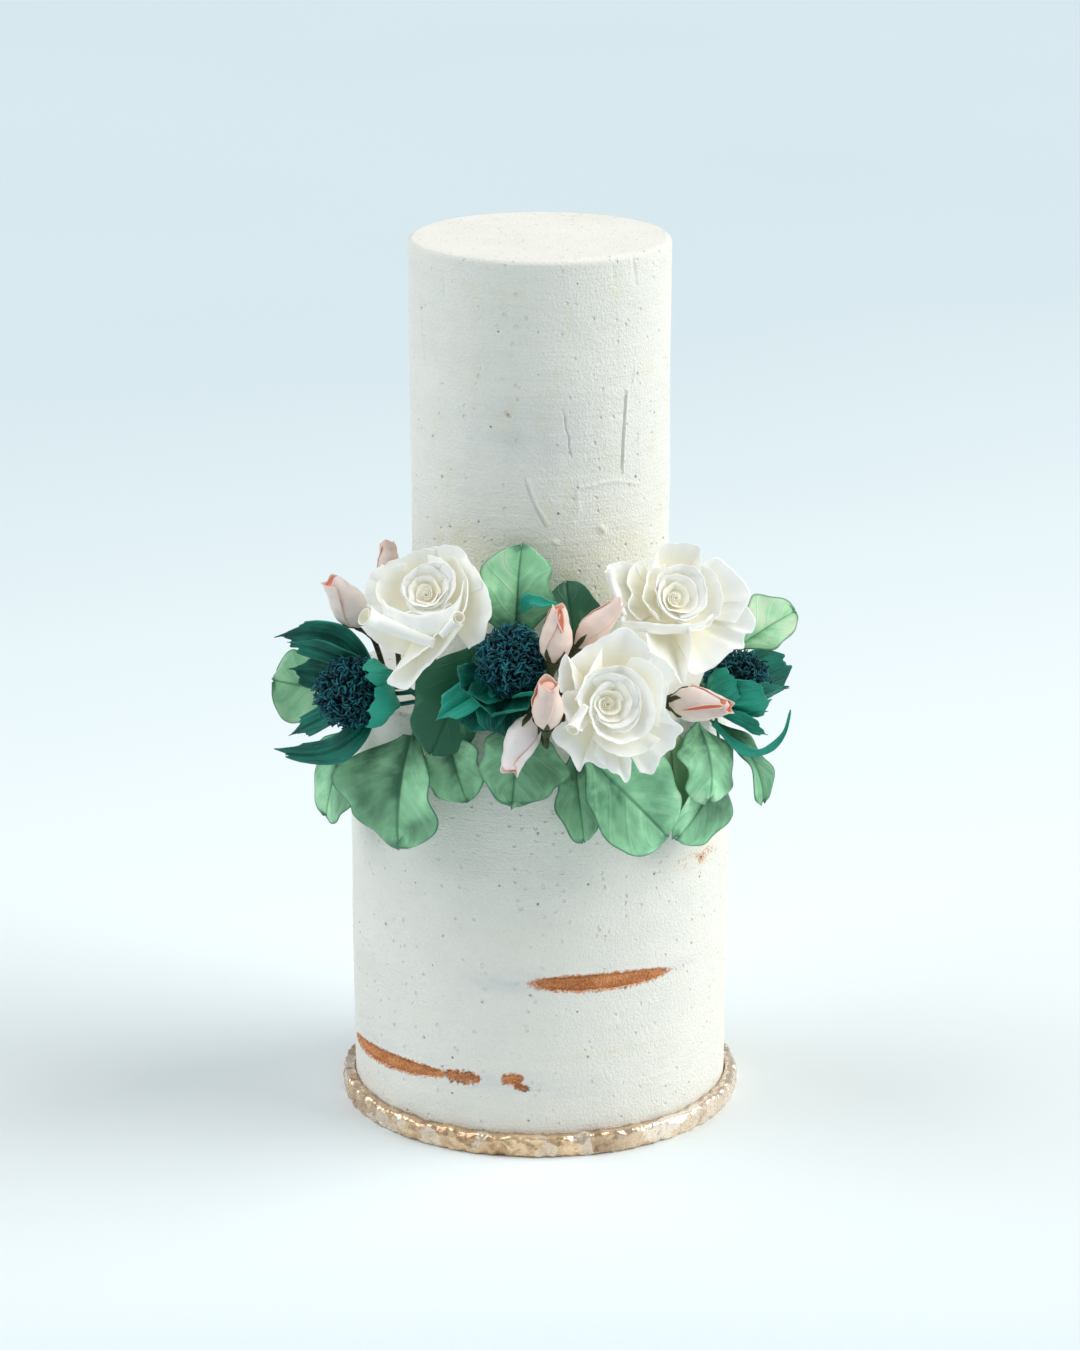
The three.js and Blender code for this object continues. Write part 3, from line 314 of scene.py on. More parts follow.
                   (-1, -10.9, 1.5), (6.7, -10.6, 1), (13.5, -8.1, 0.5)], skirt=(0, -7)),
        ],
        "scrolls": [([(-27.6, 12.4, 3.2), (-26.4, 6.5, 0.8), (-23.2, -5.4, 0.0)], 1.9, 1.0)],
    },
}

# Thistle-like flowers: a fibrous dome in a ring of bracts. A bract has its tip, width, bow, fold and
# brightness, which is partly its own teal and partly painted light and shade, how far it sweeps aside
# and how torn its end is. Ribbons are narrow curled bracts along a path, and wires are bare lengths
# of wire that show behind the flower. The dome's profile gives shares of its depth and of its radius,
# and the body under the fibres takes its own share of both.
DOME_BODY_DEPTH = 0.93
DOME_BODY_RADIUS = 0.84
DOME_PROFILE = [(0.02, 0.5), (0.2, 0.82), (0.45, 0.95), (0.7, 0.86), (0.88, 0.56), (0.97, 0.1)]

bract = partial(record, "tip width bow fold bright", sweep=0, torn=1)

PROTEAS = {
    "protea_left": {
        "seat": (-66, -58, 190.5), "aim": (-50, 6), "radius": 12, "depth": 24, "root": (-47, -40),
        "bracts": [
            bract((-107, -50, 209), 12, -2, 12, 0.1, sweep=11, torn=1.3),
            bract((-101, -60, 210.5), 9, -1, 10, 0.15, sweep=4, torn=1.3),
            bract((-101, -50, 196.5), 11, -3, 10, 0.05, torn=1.3),
            bract((-100.5, -60, 172), 8, 1, 10, 0.2, torn=1.3),
            bract((-108, -70, 170), 10, -2, 10, 0.2, sweep=-13, torn=1.3),
            bract((-70.5, -81, 204), 12, -8, 30, 1.1),
            bract((-69, -84, 190), 17, -9, 30, 1.35),
        ],
        "ribbons": [],
        "wires": [
            [(-64, -58, 191.5), (-57, -64, 191), (-47, -67, 192.5), (-40, -61, 188), (-38, -58, 180.3)],
            [(-64, -58, 187), (-57, -64, 186.5), (-48, -67, 188.5), (-41, -62, 186), (-40, -59, 180.3)],
        ],
    },
    "protea_centre": {
        "seat": (-10.5, -79, 205), "aim": (-4, 40), "radius": 12, "depth": 20, "root": (-12, -66),
        "bracts": [
            bract((-19.5, -105, 196), 23, -6, 30, 0.22),
            bract((-31, -98, 204), 18, -5, 26, 0.12),
            bract((-41, -94, 189), 12, 2, 30, 1.2),
            bract((-30, -93, 184), 17, 1, 14, 0.0),
            bract((-12, -97, 181), 22, 1, 16, 0.02),
            bract((-2.5, -103, 205), 12, -4, 20, 1.0),
        ],
        "ribbons": [
            {"width": 6.4, "bright": 1.5,
             "path": [(-7, -78, 229), (-4, -83, 234.5), (1, -86, 234.6), (7, -85, 233.4)]},
        ],
        "wires": [],
    },
    "protea_right": {
        "seat": (70.5, -49, 187), "aim": (105, 22), "radius": 9, "depth": 20, "root": (58, -42),
        "bracts": [
            bract((102.3, -30, 195), 17, -3, 14, 0.15),
            bract((102, -40, 186.5), 4, 1, 6, 0.3),
            bract((78.5, -64, 197), 12, -3, 14, 0.75),
            bract((92, -66, 190), 15, -3, 18, 0.95),
            bract((97, -54, 191), 9, -2, 14, 0.35),
            bract((91, -61, 183), 9, -2, 14, 0.85),
            bract((91, -64, 174), 11, -2, 14, 0.6),
        ],
        "ribbons": [
            {"width": 4.6, "bright": 0.8,
             "path": [(68.8, -60, 177.5), (77.9, -64, 169.3), (85.5, -64, 166.3), (91.9, -62, 167.8),
                      (97.4, -58, 173.2), (99.8, -54, 181)]},
        ],
        "wires": [],
    },
}

# Rosebuds: foot, tip, radius and the wire's root; spin turns the wrapped petals, gape opens one edge
# and crown flares the tips. A slit opens the side that shows: its offset in degrees, where it starts
# and ends along the bud, and its width. Light pales the petals as painted light on the buds that are
# lit more, and heart is how coral the core is.
bud = partial(record, "foot tip radius root spin gape crown", slit=None, light=0, heart=1)

BUDS = {
    "bud_left_back": bud((-60.6, -12, 222.5), (-62, -6, 237.4), 4.6, (-57, -12), 0, 0.4, 1.2),
    "bud_left": bud((-70.5, -48, 214.5), (-83.2, -52, 234.6), 6.9, (-60, -40), 200, 0.8, 0.9,
        slit=(-20, 0.62, 0.97, 1.4), light=0.5),
    "bud_centre": bud((4.9, -93, 212.2), (7.6, -91, 234.6), 6.2, (4, -68), 236, 0.5, 0.2,
        slit=(14, 0.6, 0.98, 3.4)),
    "bud_slanted": bud((14.2, -86, 216.4), (31.6, -82, 234.2), 5.4, (9, -66), 60, 0.2, 0.0),
    "bud_open": bud((2.6, -107, 190.4), (3.2, -114, 211), 6, (-1, -70), 30, 0.6, 1.6, heart=0.35),
    "bud_low": bud((-3.0, -95, 191.5), (-12.2, -105, 171.4), 6.3, (-3, -72), 120, 0.4, 1.3, light=1.0),
    "bud_right": bud((51, -82, 192.8), (74.6, -93, 194.2), 6.8, (42, -62), 196, 0.3, -0.6,
        slit=(10, 0.3, 0.9, 2.2), light=0.25),
}
# Shares of a bud's radius and of its length
BUD_PROFILE = [(0.06, 0), (0.42, 0.03), (0.86, 0.19), (1, 0.37), (0.92, 0.55), (0.66, 0.76), (0.42, 0.97)]

# Leaves: foot, tip, half widths left and right of the midrib at equal steps, the way the face
# looks, bow, fold, ripple, and the leaf's lightness, partly its own green and partly painted light
# and shade, and its warmth of green. Edge is how far the outline waves in and out, lobes how deep
# the end is notched, and sweep bends the blade sideways.
leaf = partial(record, "foot tip left right aim bow fold ripple light warm", edge=1.3, lobes=0.05, sweep=0)

LEAVES = {
    "leaf_upper_centre": leaf((-10.5, -65, 212), (-7.2, -59.5, 251.6), [2, 12, 15.5, 14, 2],
        [2, 11, 14, 13.5, 2], (0, 10), 2, 12, 1.8, 0.78, 0.1, edge=2.4, lobes=0.08),
    "leaf_upper_dark": leaf((14, -71, 207), (10, -61, 236.6), [2, 8, 10, 8, 1], [2, 10, 12, 10, 1],
        (6, 12), 2, 8, 0.8, -0.25, 0.1),
    "leaf_right_light": leaf((79.5, -43, 204.5), (103, -29, 215), [2, 10, 14, 10, 0.5],
        [2, 8, 10, 7, 0.5], (30, 40), 2, 14, 1, 1.2, 0.25),
    "leaf_far_left": leaf((-80, -34, 183.5), (-108, -36, 188), [2, 12, 16, 15, 5], [3, 13, 15, 14, 4],
        (-20, 6), 2, 6, 2.2, 1.05, 0.3),
    "leaf_low_left_back": leaf((-75.5, -42, 168), (-87, -33, 128), [3, 14, 17, 15, 4], [3, 12, 15, 12, 3],
        (-58, 6), 2, 6, 1.4, 0.6, 0.2),
    "leaf_low_left": leaf((-50.5, -69, 175), (-56, -78, 129.4), [3, 15, 20, 21, 6], [4, 23, 27, 20, 5],
        (-34, 8), 4, 14, 2, 0.45, 0.2, edge=2.0, lobes=0.13),
    "leaf_mid_left": leaf((-25, -70, 212), (-43, -83, 171), [2, 9, 12, 12, 3], [2, 14, 17, 14, 3],
        (10, 16), 2, 8, 1, -0.42, 0.05),
    "leaf_low_mid_left": leaf((-36, -78, 178), (-28.5, -86, 152.6), [3, 11, 12, 10, 3],
        [3, 14, 15, 12, 4], (-24, 10), 1.5, 8, 0.8, 0.45, 0.25),
    "leaf_low_centre": leaf((-6.4, -85, 187), (-11.4, -93.5, 151.4), [2, 15, 20, 17, 6],
        [2, 13, 15, 11, 3], (-6, 10), 3, 8, 1.4, 0.62, 0.2, edge=1.9, lobes=0.12),
    "leaf_low_narrow": leaf((13, -83, 173), (17.5, -86.5, 135.6), [1, 7, 9, 7, 1], [1, 8, 10, 8, 1],
        (10, 6), 1.5, 10, 1, 0.4, 0.3),
    "leaf_low_right": leaf((17, -89, 174), (51, -84, 137), [2, 17, 20, 16, 4], [2, 14, 18, 18, 4],
        (20, 8), 4, 12, 1.6, 0.78, 0.05),
    "leaf_low_olive": leaf((51, -64.5, 176), (53, -67, 141.4), [2, 9, 10, 9, 2], [2, 9, 10, 8, 2],
        (36, 8), 1.5, 6, 1, 0.9, 1.0),
    "leaf_right_curly": leaf((63, -60, 178), (67, -74, 147.6), [2, 13, 16, 17, 6], [2, 10, 13, 12, 4],
        (40, 14), 4, -16, 2.4, 0.7, 0.05, edge=2.2, lobes=0.1),
    "leaf_right_low": leaf((73, -42, 158), (54, -74, 132.6), [3, 13, 15, 13, 4], [3, 15, 18, 16, 5],
        (52, 4), 3, 12, 1.8, 0.6, 0.05, edge=1.8, lobes=0.08),
    "leaf_right_narrow": leaf((69, -54, 176), (89.5, -56, 141.6), [1.5, 4, 5, 8, 4], [1.5, 4, 5.5, 8, 4],
        (50, 10), 6, 16, 1.4, 0.6, 0.1, sweep=-2),
    # The leaf between the roses is dark olive, partly as painted shade under the right rose's petals
    "leaf_between_roses": leaf((40, -62, 196), (45, -70, 213), [2, 7, 8, 7, 2], [2, 7, 8, 7, 2], (20, 30),
        1, 8, 0.6, 0.2, 0.8),
}


def mix(a, b, t):
    return a + (b - a) * t


def clamp(value, low=0.0, high=1.0):
    return min(max(value, low), high)


def smooth(low, high, value):
    """0 below low, 1 above high and an even S between them."""
    t = clamp((value - low) / (high - low))
    return t * t * (3 - 2 * t)


def hump(value, centre, width):
    """1 at the centre, falling away evenly on both sides."""
    return math.exp(-((value - centre) / width) ** 2)


def draw(seed):
    """A fixed draw between 0 and 1."""
    wave = math.sin(seed * 12.9898) * 43758.5453
    return wave - math.floor(wave)


def aim(angle, lift):
    """Direction at an angle from the front, raised by a lift."""
    b = math.radians(lift)
    return on_round(angle, math.cos(b), math.sin(b))


def on_round(angle, reach, z):
    """A point at an angle from the front and at a reach from the axis."""
    a = math.radians(angle)
    return Vector((reach * math.sin(a), -reach * math.cos(a), z))


def in_flower(turn, reach, z):
    """A point in a flower's own frame, at a turn in radians round its axis."""
    return Vector((reach * math.cos(turn), reach * math.sin(turn), z))


def waver(x, y, z):
    """Smooth noise at a point, about 0."""
    return noise.noise(Vector((x, y, z)))


def along(values, t):
    """Smooth reading of a few hand-set values at equal steps from 0 to 1."""
    place = clamp(t) * (len(values) - 1)
    k = min(int(place), len(values) - 2)
    f = place - k
    m0 = (values[k + 1] - values[max(k - 1, 0)]) / 2
    m1 = (values[min(k + 2, len(values) - 1)] - values[k]) / 2
    return ((2 * f ** 3 - 3 * f ** 2 + 1) * values[k] + (f ** 3 - 2 * f ** 2 + f) * m0
            + (3 * f ** 2 - 2 * f ** 3) * values[k + 1] + (f ** 3 - f ** 2) * m1)


def curve_point(points, t):
    return Vector([along([p[axis] for p in points], t) for axis in range(3)])


def heading(points, t, span):
    """The way a smooth path runs at a place on it, from a span before it to a span after it."""
    return (curve_point(points, min(t + span, 1)) - curve_point(points, max(t - span, 0))).normalized()


def flower_frame(heart, facing):
    """A flower's own frame: x to its right and y up as seen from in front of it, z the way it faces."""
    right = Vector((0, 0, 1)).cross(facing).normalized()
    up = facing.cross(right)
    made = Matrix((right, up, facing)).transposed().to_4x4()
    made.translation = heart
    return made


class Paste:
    """The points, faces, sheet coordinates and tones of one piece while it is being shaped."""

    def __init__(self):
        self.points = []
        self.faces = []
        self.uvs = []
        self.tones = []

    def add(self, points, faces, uvs, tones, place=None):
        start = len(self.points)
        self.points += [place @ p for p in points] if place else points
        self.faces += [tuple(start + k for k in face) for face in faces]
        self.uvs += uvs
        self.tones += tones

    def sheet(self, point_at, columns, rows, thickness, tone_at, place=None):
        """A closed thin sheet; u runs from -1 to 1, v from 0 to 1, and tone_at also takes the side."""
        row = columns + 1
        grid = [[point_at(-1 + 2 * i / columns, j / rows) for i in range(row)] for j in range(rows + 1)]
        sides = ([], [])
        tones = ([], [])
        uvs = []
        for j in range(rows + 1):
            for i in range(row):
                across = grid[j][min(i + 1, columns)] - grid[j][max(i - 1, 0)]
                onwards = grid[min(j + 1, rows)][i] - grid[max(j - 1, 0)][i]
                normal = across.cross(onwards).normalized()
                u, v = -1 + 2 * i / columns, j / rows
                half = thickness(u, v) / 2
                uvs.append((u / 2 + 0.5, v))
                for side, sign in enumerate((1, -1)):
                    sides[side].append(grid[j][i] + normal * half * sign)
                    tones[side].append(tone_at(u, v, side))
        count = len(uvs)
        faces = []
        for j in range(rows):
            for i in range(columns):
                a = j * row + i
                faces.append((a, a + 1, a + row + 1, a + row))
                faces.append((count + a, count + a + row, count + a + row + 1, count + a + 1))
        rim = list(range(columns))
        rim += [j * row + columns for j in range(rows)]
        rim += [rows * row + i for i in range(columns, 0, -1)]
        rim += [j * row for j in range(rows, 0, -1)]
        for k, a in enumerate(rim):
            b = rim[(k + 1) % len(rim)]
            faces.append((a, count + a, count + b, b))
        self.add(sides[0] + sides[1], faces, uvs * 2, tones[0] + tones[1], place)

    def tube(self, points, radius_at, sides, steps, tone=(0, 0, 0), place=None):
        """A round closed tube along a smooth path."""
        centres = [curve_point(points, k / steps) for k in range(steps + 1)]
        made, uvs = [], []
        side = Vector((0.3, 0.2, 1)).cross(centres[1] - centres[0]).normalized()
        for k, centre in enumerate(centres):
            ahead = (centres[min(k + 1, steps)] - centres[max(k - 1, 0)]).normalized()
            side = (side - ahead * side.dot(ahead)).normalized()
            other = ahead.cross(side)
            radius = radius_at(k / steps)
            for s in range(sides):
                turn = 2 * math.pi * s / sides
                made.append(centre + (side * math.cos(turn) + other * math.sin(turn)) * radius)
                uvs.append((s / sides, k / steps))
        faces = []
        for k in range(steps):
            for s in range(sides):
                a, b = k * sides + s, k * sides + (s + 1) % sides
                faces.append((a, b, b + sides, a + sides))
        made += [centres[0], centres[-1]]
        uvs += [(0.5, 0), (0.5, 1)]
        last = steps * sides
        for s in range(sides):
            faces.append((last + sides, (s + 1) % sides, s))
            faces.append((last + sides + 1, last + s, last + (s + 1) % sides))
        self.add(made, faces, uvs, [tone] * len(made), place)

    def core(self, levels, sides, steps, tone, place):
        """A round solid on a flower's axis, from heights and radii at equal steps."""
        radii = [radius for _, radius in levels]
        path = [Vector((0, 0, height)) for height, _ in levels]
        self.tube(path, lambda t: along(radii, t), sides, steps, tone, place)

    def wire(self, place, start, behind, root):
        """A taped wire from behind a flower, at two places on its axis, down to the ledge."""
        foot, bend = (place @ Vector((0, 0, z)) for z in (start, behind))
        knee = Vector((mix(bend.x, root[0], 0.6), mix(bend.y, root[1], 0.6), mix(bend.z, ROOT_HEIGHT, 0.5)))
        path = [foot, bend, knee, Vector((*root, ROOT_HEIGHT))]
        self.tube(path, lambda t: WIRE_RADIUS, *WIRE_GRID)

    def turned(self, rows, angles, tone_at, closed=False):
        """A surface turned round the axis: rows are functions of the angle giving reach and height.

        The first and last rows end in poles unless the section is closed on itself.
        """
        count = len(angles)
        made, uvs, tones = [], [], []
        for j, row in enumerate(rows):
            for k, angle in enumerate(angles):
                reach, z = row(angle)
                made.append(on_round(angle, reach, z))
                uvs.append((angle / 360 + 0.5, j / len(rows)))
                tones.append(tone_at(angle, z))
        faces = []
        for j in range(len(rows) if closed else len(rows) - 1):
            low, high = j * count, ((j + 1) % len(rows)) * count
            for k in range(count):
                n = (k + 1) % count
                faces.append((low + k, low + n, high + n, high + k))
        if not closed:
            for j, flip in ((0, True), (len(rows) - 1, False)):
                ring = [j * count + k for k in range(count)]
                pole = len(made)
                made.append(sum((made[k] for k in ring), Vector()) / count)
                uvs.append((0.5, float(not flip)))
                tones.append((0, 0, 0))
                for k in range(count):
                    a, b = ring[k], ring[(k + 1) % count]
                    faces.append((pole, b, a) if flip else (pole, a, b))
        self.add(made, faces, uvs, tones)

    def object(self, name, finish):
        """The piece as a mesh object with its place in its mesh."""
        mesh = bpy.data.meshes.new(name)
        mesh.from_pydata([p * MM for p in self.points], [], self.faces)
        layer = mesh.uv_layers.new(name="sheet")
        tone = mesh.color_attributes.new("tone", "FLOAT_COLOR", "POINT")
        corners = [0] * len(mesh.loops)
        mesh.loops.foreach_get("vertex_index", corners)
        layer.data.foreach_set("uv", [value for k in corners for value in self.uvs[k]])
        tone.data.foreach_set("color", [value for t in self.tones for value in (*t, 1)])
        mesh.polygons.foreach_set("use_smooth", [True] * len(mesh.polygons))
        mesh.materials.append(finish)
        made = bpy.data.objects.new(name, mesh)
        bpy.context.scene.collection.objects.link(made)
        return made


def place_piece(piece, slot, *nodes):
    """Every piece of the cake is part of one body, takes a slot and stands for its solids."""
    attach(piece, "root")
    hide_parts(*nodes)


class Wire:
    """One socket of a node tree; arithmetic on it adds Math nodes."""

    def __init__(self, nodes, socket):
        self.nodes = nodes
        self.socket = socket

    def other(self, output):
        """Another output of the node that this socket belongs to."""
        return Wire(self.nodes, self.socket.node.outputs[output])

    def math(self, operation, first, second):
        return self.nodes.node("ShaderNodeMath", {"operation": operation}, {0: first, 1: second})

    def __add__(self, other):
        return self.math("ADD", self, other)

    def __sub__(self, other):
        return self.math("SUBTRACT", self, other)

    def __rsub__(self, other):
        return self.math("SUBTRACT", other, self)

    def __mul__(self, other):
        return self.math("MULTIPLY", self, other)

    def __truediv__(self, other):
        return self.math("DIVIDE", self, other)

    def __lt__(self, other):
        return self.math("LESS_THAN", self, other)

    def __gt__(self, other):
        return self.math("GREATER_THAN", self, other)


class Nodes:
    """A node tree and the one way in which nodes are added to it."""

    def __init__(self, tree):
        self.tree = tree

    def node(self, kind, settings=None, values=None, output=0):
        made = self.tree.nodes.new(kind)
        for key, value in (settings or {}).items():
            setattr(made, key, value)
        for key, value in (values or {}).items():
            if isinstance(value, Wire):
                self.tree.links.new(value.socket, made.inputs[key])
            else:
                made.inputs[key].default_value = value
        return Wire(self, made.outputs[output]) if made.outputs else None


class Finish(Nodes):
    """A procedural material built from expressions."""

    def __init__(self, name):
        self.material = bpy.data.materials.new(name)
        self.material.use_nodes = True
        super().__init__(self.material.node_tree)
        self.tree.nodes.clear()
        self.place = self.node("ShaderNodeTexCoord", output="Object")
        self.sheet = self.node("ShaderNodeUVMap", {"uv_map": "sheet"})
        tone = self.node("ShaderNodeAttribute", {"attribute_name": "tone"}, output="Color")
        self.tones = [self.node("ShaderNodeSeparateColor", {}, {0: tone}, output=k) for k in range(3)]

    def stretched(self, vector, scale):
        return self.node("ShaderNodeVectorMath", {"operation": "MULTIPLY"}, {0: vector, 1: scale})

    def noise(self, vector, scale, detail=2.0, rough=0.5, distortion=0.0, output=0):
        values = {"Vector": vector, "Scale": scale, "Detail": detail, "Roughness": rough,
                  "Distortion": distortion}
        return self.node("ShaderNodeTexNoise", {}, values, output)

    def cells(self, vector, scale, output="Distance"):
        return self.node("ShaderNodeTexVoronoi", {}, {"Vector": vector, "Scale": scale}, output)

    def ease(self, value, low, high, start=0.0, end=1.0):
        values = {"Value": value, "From Min": low, "From Max": high, "To Min": start, "To Max": end}
        return self.node("ShaderNodeMapRange", {"interpolation_type": "SMOOTHSTEP"}, values)

    def blend(self, factor, first, second):
        colours = {k: v if isinstance(v, Wire) else (*v, 1) for k, v in ((6, first), (7, second))}
        settings = {"data_type": "RGBA", "blend_type": "MIX", "clamp_factor": True}
        return self.node("ShaderNodeMix", settings, {0: factor, **colours}, output=2)

    def parts(self, vector):
        return [self.node("ShaderNodeSeparateXYZ", {}, {0: vector}, output=k) for k in range(3)]

    def bump(self, height, distance, strength):
        values = {"Height": height, "Distance": distance, "Strength": strength}
        return self.node("ShaderNodeBump", {}, values)

    def surface(self, colour, roughness, normal, **others):
        """The finish itself; others are sockets by name, with _ for each space."""
        values = {"Base Color": colour, "Roughness": roughness, "Normal": normal}
        values.update({key.replace("_", " "): value for key, value in others.items()})
        shader = self.node("ShaderNodeBsdfPrincipled", {}, values)
        self.node("ShaderNodeOutputMaterial", {}, {"Surface": shader})
        return self.material


def icing_finish(colours):
    """Scraped buttercream: fine level lines, small pits, dark specks and the sponge's stains."""
    f = Finish("buttercream")
    lines = f.noise(f.stretched(f.place, (30, 30, 1500)), 1.0, 3.0, 0.6)
    broad = f.noise(f.stretched(f.place, (14, 14, 60)), 1.0, 2.0)
    grain = f.noise(f.place, 1150, 2.0, 0.6)
    crumbs = f.noise(f.place, 780, 3.0, 0.65)
    mottle = f.ease(f.noise(f.stretched(f.place, (22, 22, 60)), 1.0, 4.0, 0.6), 0.35, 0.7)
    blotch = f.ease(f.noise(f.place, 70, 4.0, 0.65), 0.42, 0.7)
    kinds = f.parts(f.cells(f.place, 260, "Color"))
    pits = (1 - f.ease(f.cells(f.place, 260), 0.06, 0.26)) * (kinds[1] > 0.55)
    specks = (f.cells(f.place, 260) < kinds[2] * 0.15) * (kinds[0] > 0.72)
    fine = (f.cells(f.place, 560) < 0.13) * f.ease(blotch, 0.1, 0.8)
    colour = f.blend(mottle * 0.5 + blotch * 0.3, colours.icing, colours.icing_shade)
    colour = f.blend(f.tones[2], colour, colours.icing_stain)
    colour = f.blend(f.tones[1], colour, colours.icing_thin)
    brown = f.ease(f.tones[0] + (crumbs - 0.5) * 1.1 + (grain - 0.5) * 1.5, 0.4, 0.85)
    # Bare sponge, with painted shade in its hollows where the grain's relief is low
    colour = f.blend(brown, colour, f.blend(f.ease(grain, 0.4, 0.65), colours.sponge_shade, colours.sponge))
    colour = f.blend(f.ease(grain, 0.42, 0.6, 0.1, 0.0), colour, colours.icing_thin)
    colour = f.blend(specks * 0.75 + fine * 0.2, colour, colours.icing_speck)
    relief = lines * 0.35 + broad * 0.4 + crumbs * 0.6 + grain * 0.45 - pits * 0.7
    return f.surface(colour, 0.62 - mottle * 0.08, f.bump(relief, 0.0009, 0.9),
                     Subsurface_Weight=0.1, Subsurface_Radius=(1.0, 0.8, 0.6), Subsurface_Scale=0.002,
                     Specular_IOR_Level=0.35)


def sponge_finish(colours):
    """Open brown crumb."""
    f = Finish("sponge_crumb")
    crumb = f.noise(f.place, 1300, 4.0, 0.7)
    holes = f.ease(f.cells(f.place, 900), 0.1, 0.5)
    baked = f.ease(f.noise(f.stretched(f.place, (60, 60, 260)), 1.0, 4.0, 0.6), 0.36, 0.6)
    # Painted shade in the crumb's hollows, where the crumb's relief is low
    colour = f.blend(f.ease(crumb, 0.4, 0.62) * 0.55 + baked * 0.5, colours.sponge_shade, colours.sponge)
    colour = f.blend(f.ease(f.noise(f.place, 160, 3.0), 0.55, 0.8) * 0.35, colour, colours.sponge_pale)
    # Painted shade beyond the shore of a bare patch, under the icing's edge
    colour = f.blend(f.tones[0], colour, colours.sponge_shade)
    return f.surface(colour, 0.92, f.bump(crumb * 0.6 + holes * 0.4, 0.0008, 0.9), Specular_IOR_Level=0.2)


def gold_finish(colours):
    """Satin dust brushed over crumpled paste, thinner in the hollows."""
    f = Finish("gold_paste")
    x, _, _ = f.parts(f.place)
    dust = f.noise(f.place, 900, 3.0, 0.6)
    bent = f.node("ShaderNodeVectorMath", {"operation": "ADD"},
                  {0: f.place, 1: f.stretched(f.noise(f.place, 170, output="Color"), (0.006, 0.006, 0.006))})
    kinds = f.parts(f.cells(bent, 105, "Color"))
    facets = f.cells(bent, 105)
    folds = f.noise(f.place, 120, 3.0, 0.5, 0.6)
    # Painted light: the band is lighter on its right side and a little on its left
    lit = f.ease(x, 0.005, 0.085) + f.ease(x, -0.02, -0.08, 0.0, 0.25)
    # Darker in the hollows of the folds and on scattered facets, and lighter where the light is painted
    dusted = f.ease(folds, 0.4, 0.58) * 0.5 + kinds[0] * 0.5 + lit * 0.3
    colour = f.blend(dusted, colours.gold_deep, colours.gold)
    # Bare paste on scattered facets, with fewer of them on the side where the light is painted
    colour = f.blend((kinds[2] > 0.74) * (0.6 - lit * 0.4), colour, colours.gold_bare)
    # Painted highlights on scattered facets and over the side where the light is painted
    colour = f.blend((kinds[1] > 0.76) * 0.45 + lit * 0.65, colour, colours.gold_highlight)
    # Painted glints: fine flecks of the highlight colour
    colour = f.blend(f.ease(dust, 0.45, 0.7) * 0.15, colour, colours.gold_highlight)
    relief = dust * 0.06 + folds * 0.7 + facets * 1.3
    return f.surface(colour, f.ease(dust, 0.3, 0.7, 0.2, 0.34), f.bump(relief, 0.0015, 0.8), Metallic=0.72,
                     Specular_IOR_Level=0.5)


def petal_finish(colours):
    """Thin white sugar paste, creamy in the folds, with faint veins rolled into it."""
    f = Finish("white_petal")
    veins = f.noise(f.stretched(f.sheet, (46, 5, 1)), 1.0, 3.0, 0.55)
    grain = f.noise(f.place, 1400, 2.0)
    # Painted shade: the petal is creamier deep in the flower and near its heart
    depth = f.tones[0]
    colour = f.blend(depth, colours.petal, colours.petal_depth_shade)
    # The veins take a little of the painted shade colour
    colour = f.blend(f.ease(veins, 0.45, 0.75) * 0.12, colour, colours.petal_depth_shade)
    # A faint painted glow: the petals emit a little of their own colour
    return f.surface(colour, 0.5, f.bump(veins * 0.7 + grain * 0.15, 0.00035, 0.4),
                     Subsurface_Weight=0.25, Subsurface_Radius=(1.0, 0.9, 0.7), Subsurface_Scale=0.003,
                     Specular_IOR_Level=0.35, Emission_Color=colour, Emission_Strength=0.07)


def bud_finish(colours):
    """Blush sugar paste with coral where the petals part."""
    f = Finish("pink_petal")
    blotch = f.ease(f.noise(f.place, 240, 3.0), 0.4, 0.7)
    veins = f.noise(f.stretched(f.sheet, (40, 4, 1)), 1.0, 3.0)
    colour = f.blend(blotch * 0.45, colours.bud, colours.bud_warm)
    # Painted light: the buds that are lit more are paler
    colour = f.blend(f.tones[1], colour, colours.bud_lit)
    colour = f.blend(f.tones[0], colour, colours.bud_coral)
    # A faint painted glow: the buds emit a little of their own colour
    return f.surface(colour, 0.48, f.bump(veins, 0.0003, 0.4), Subsurface_Weight=0.3,
                     Subsurface_Radius=(1.0, 0.6, 0.45), Subsurface_Scale=0.003, Specular_IOR_Level=0.4,
                     Emission_Color=colour, Emission_Strength=0.03)


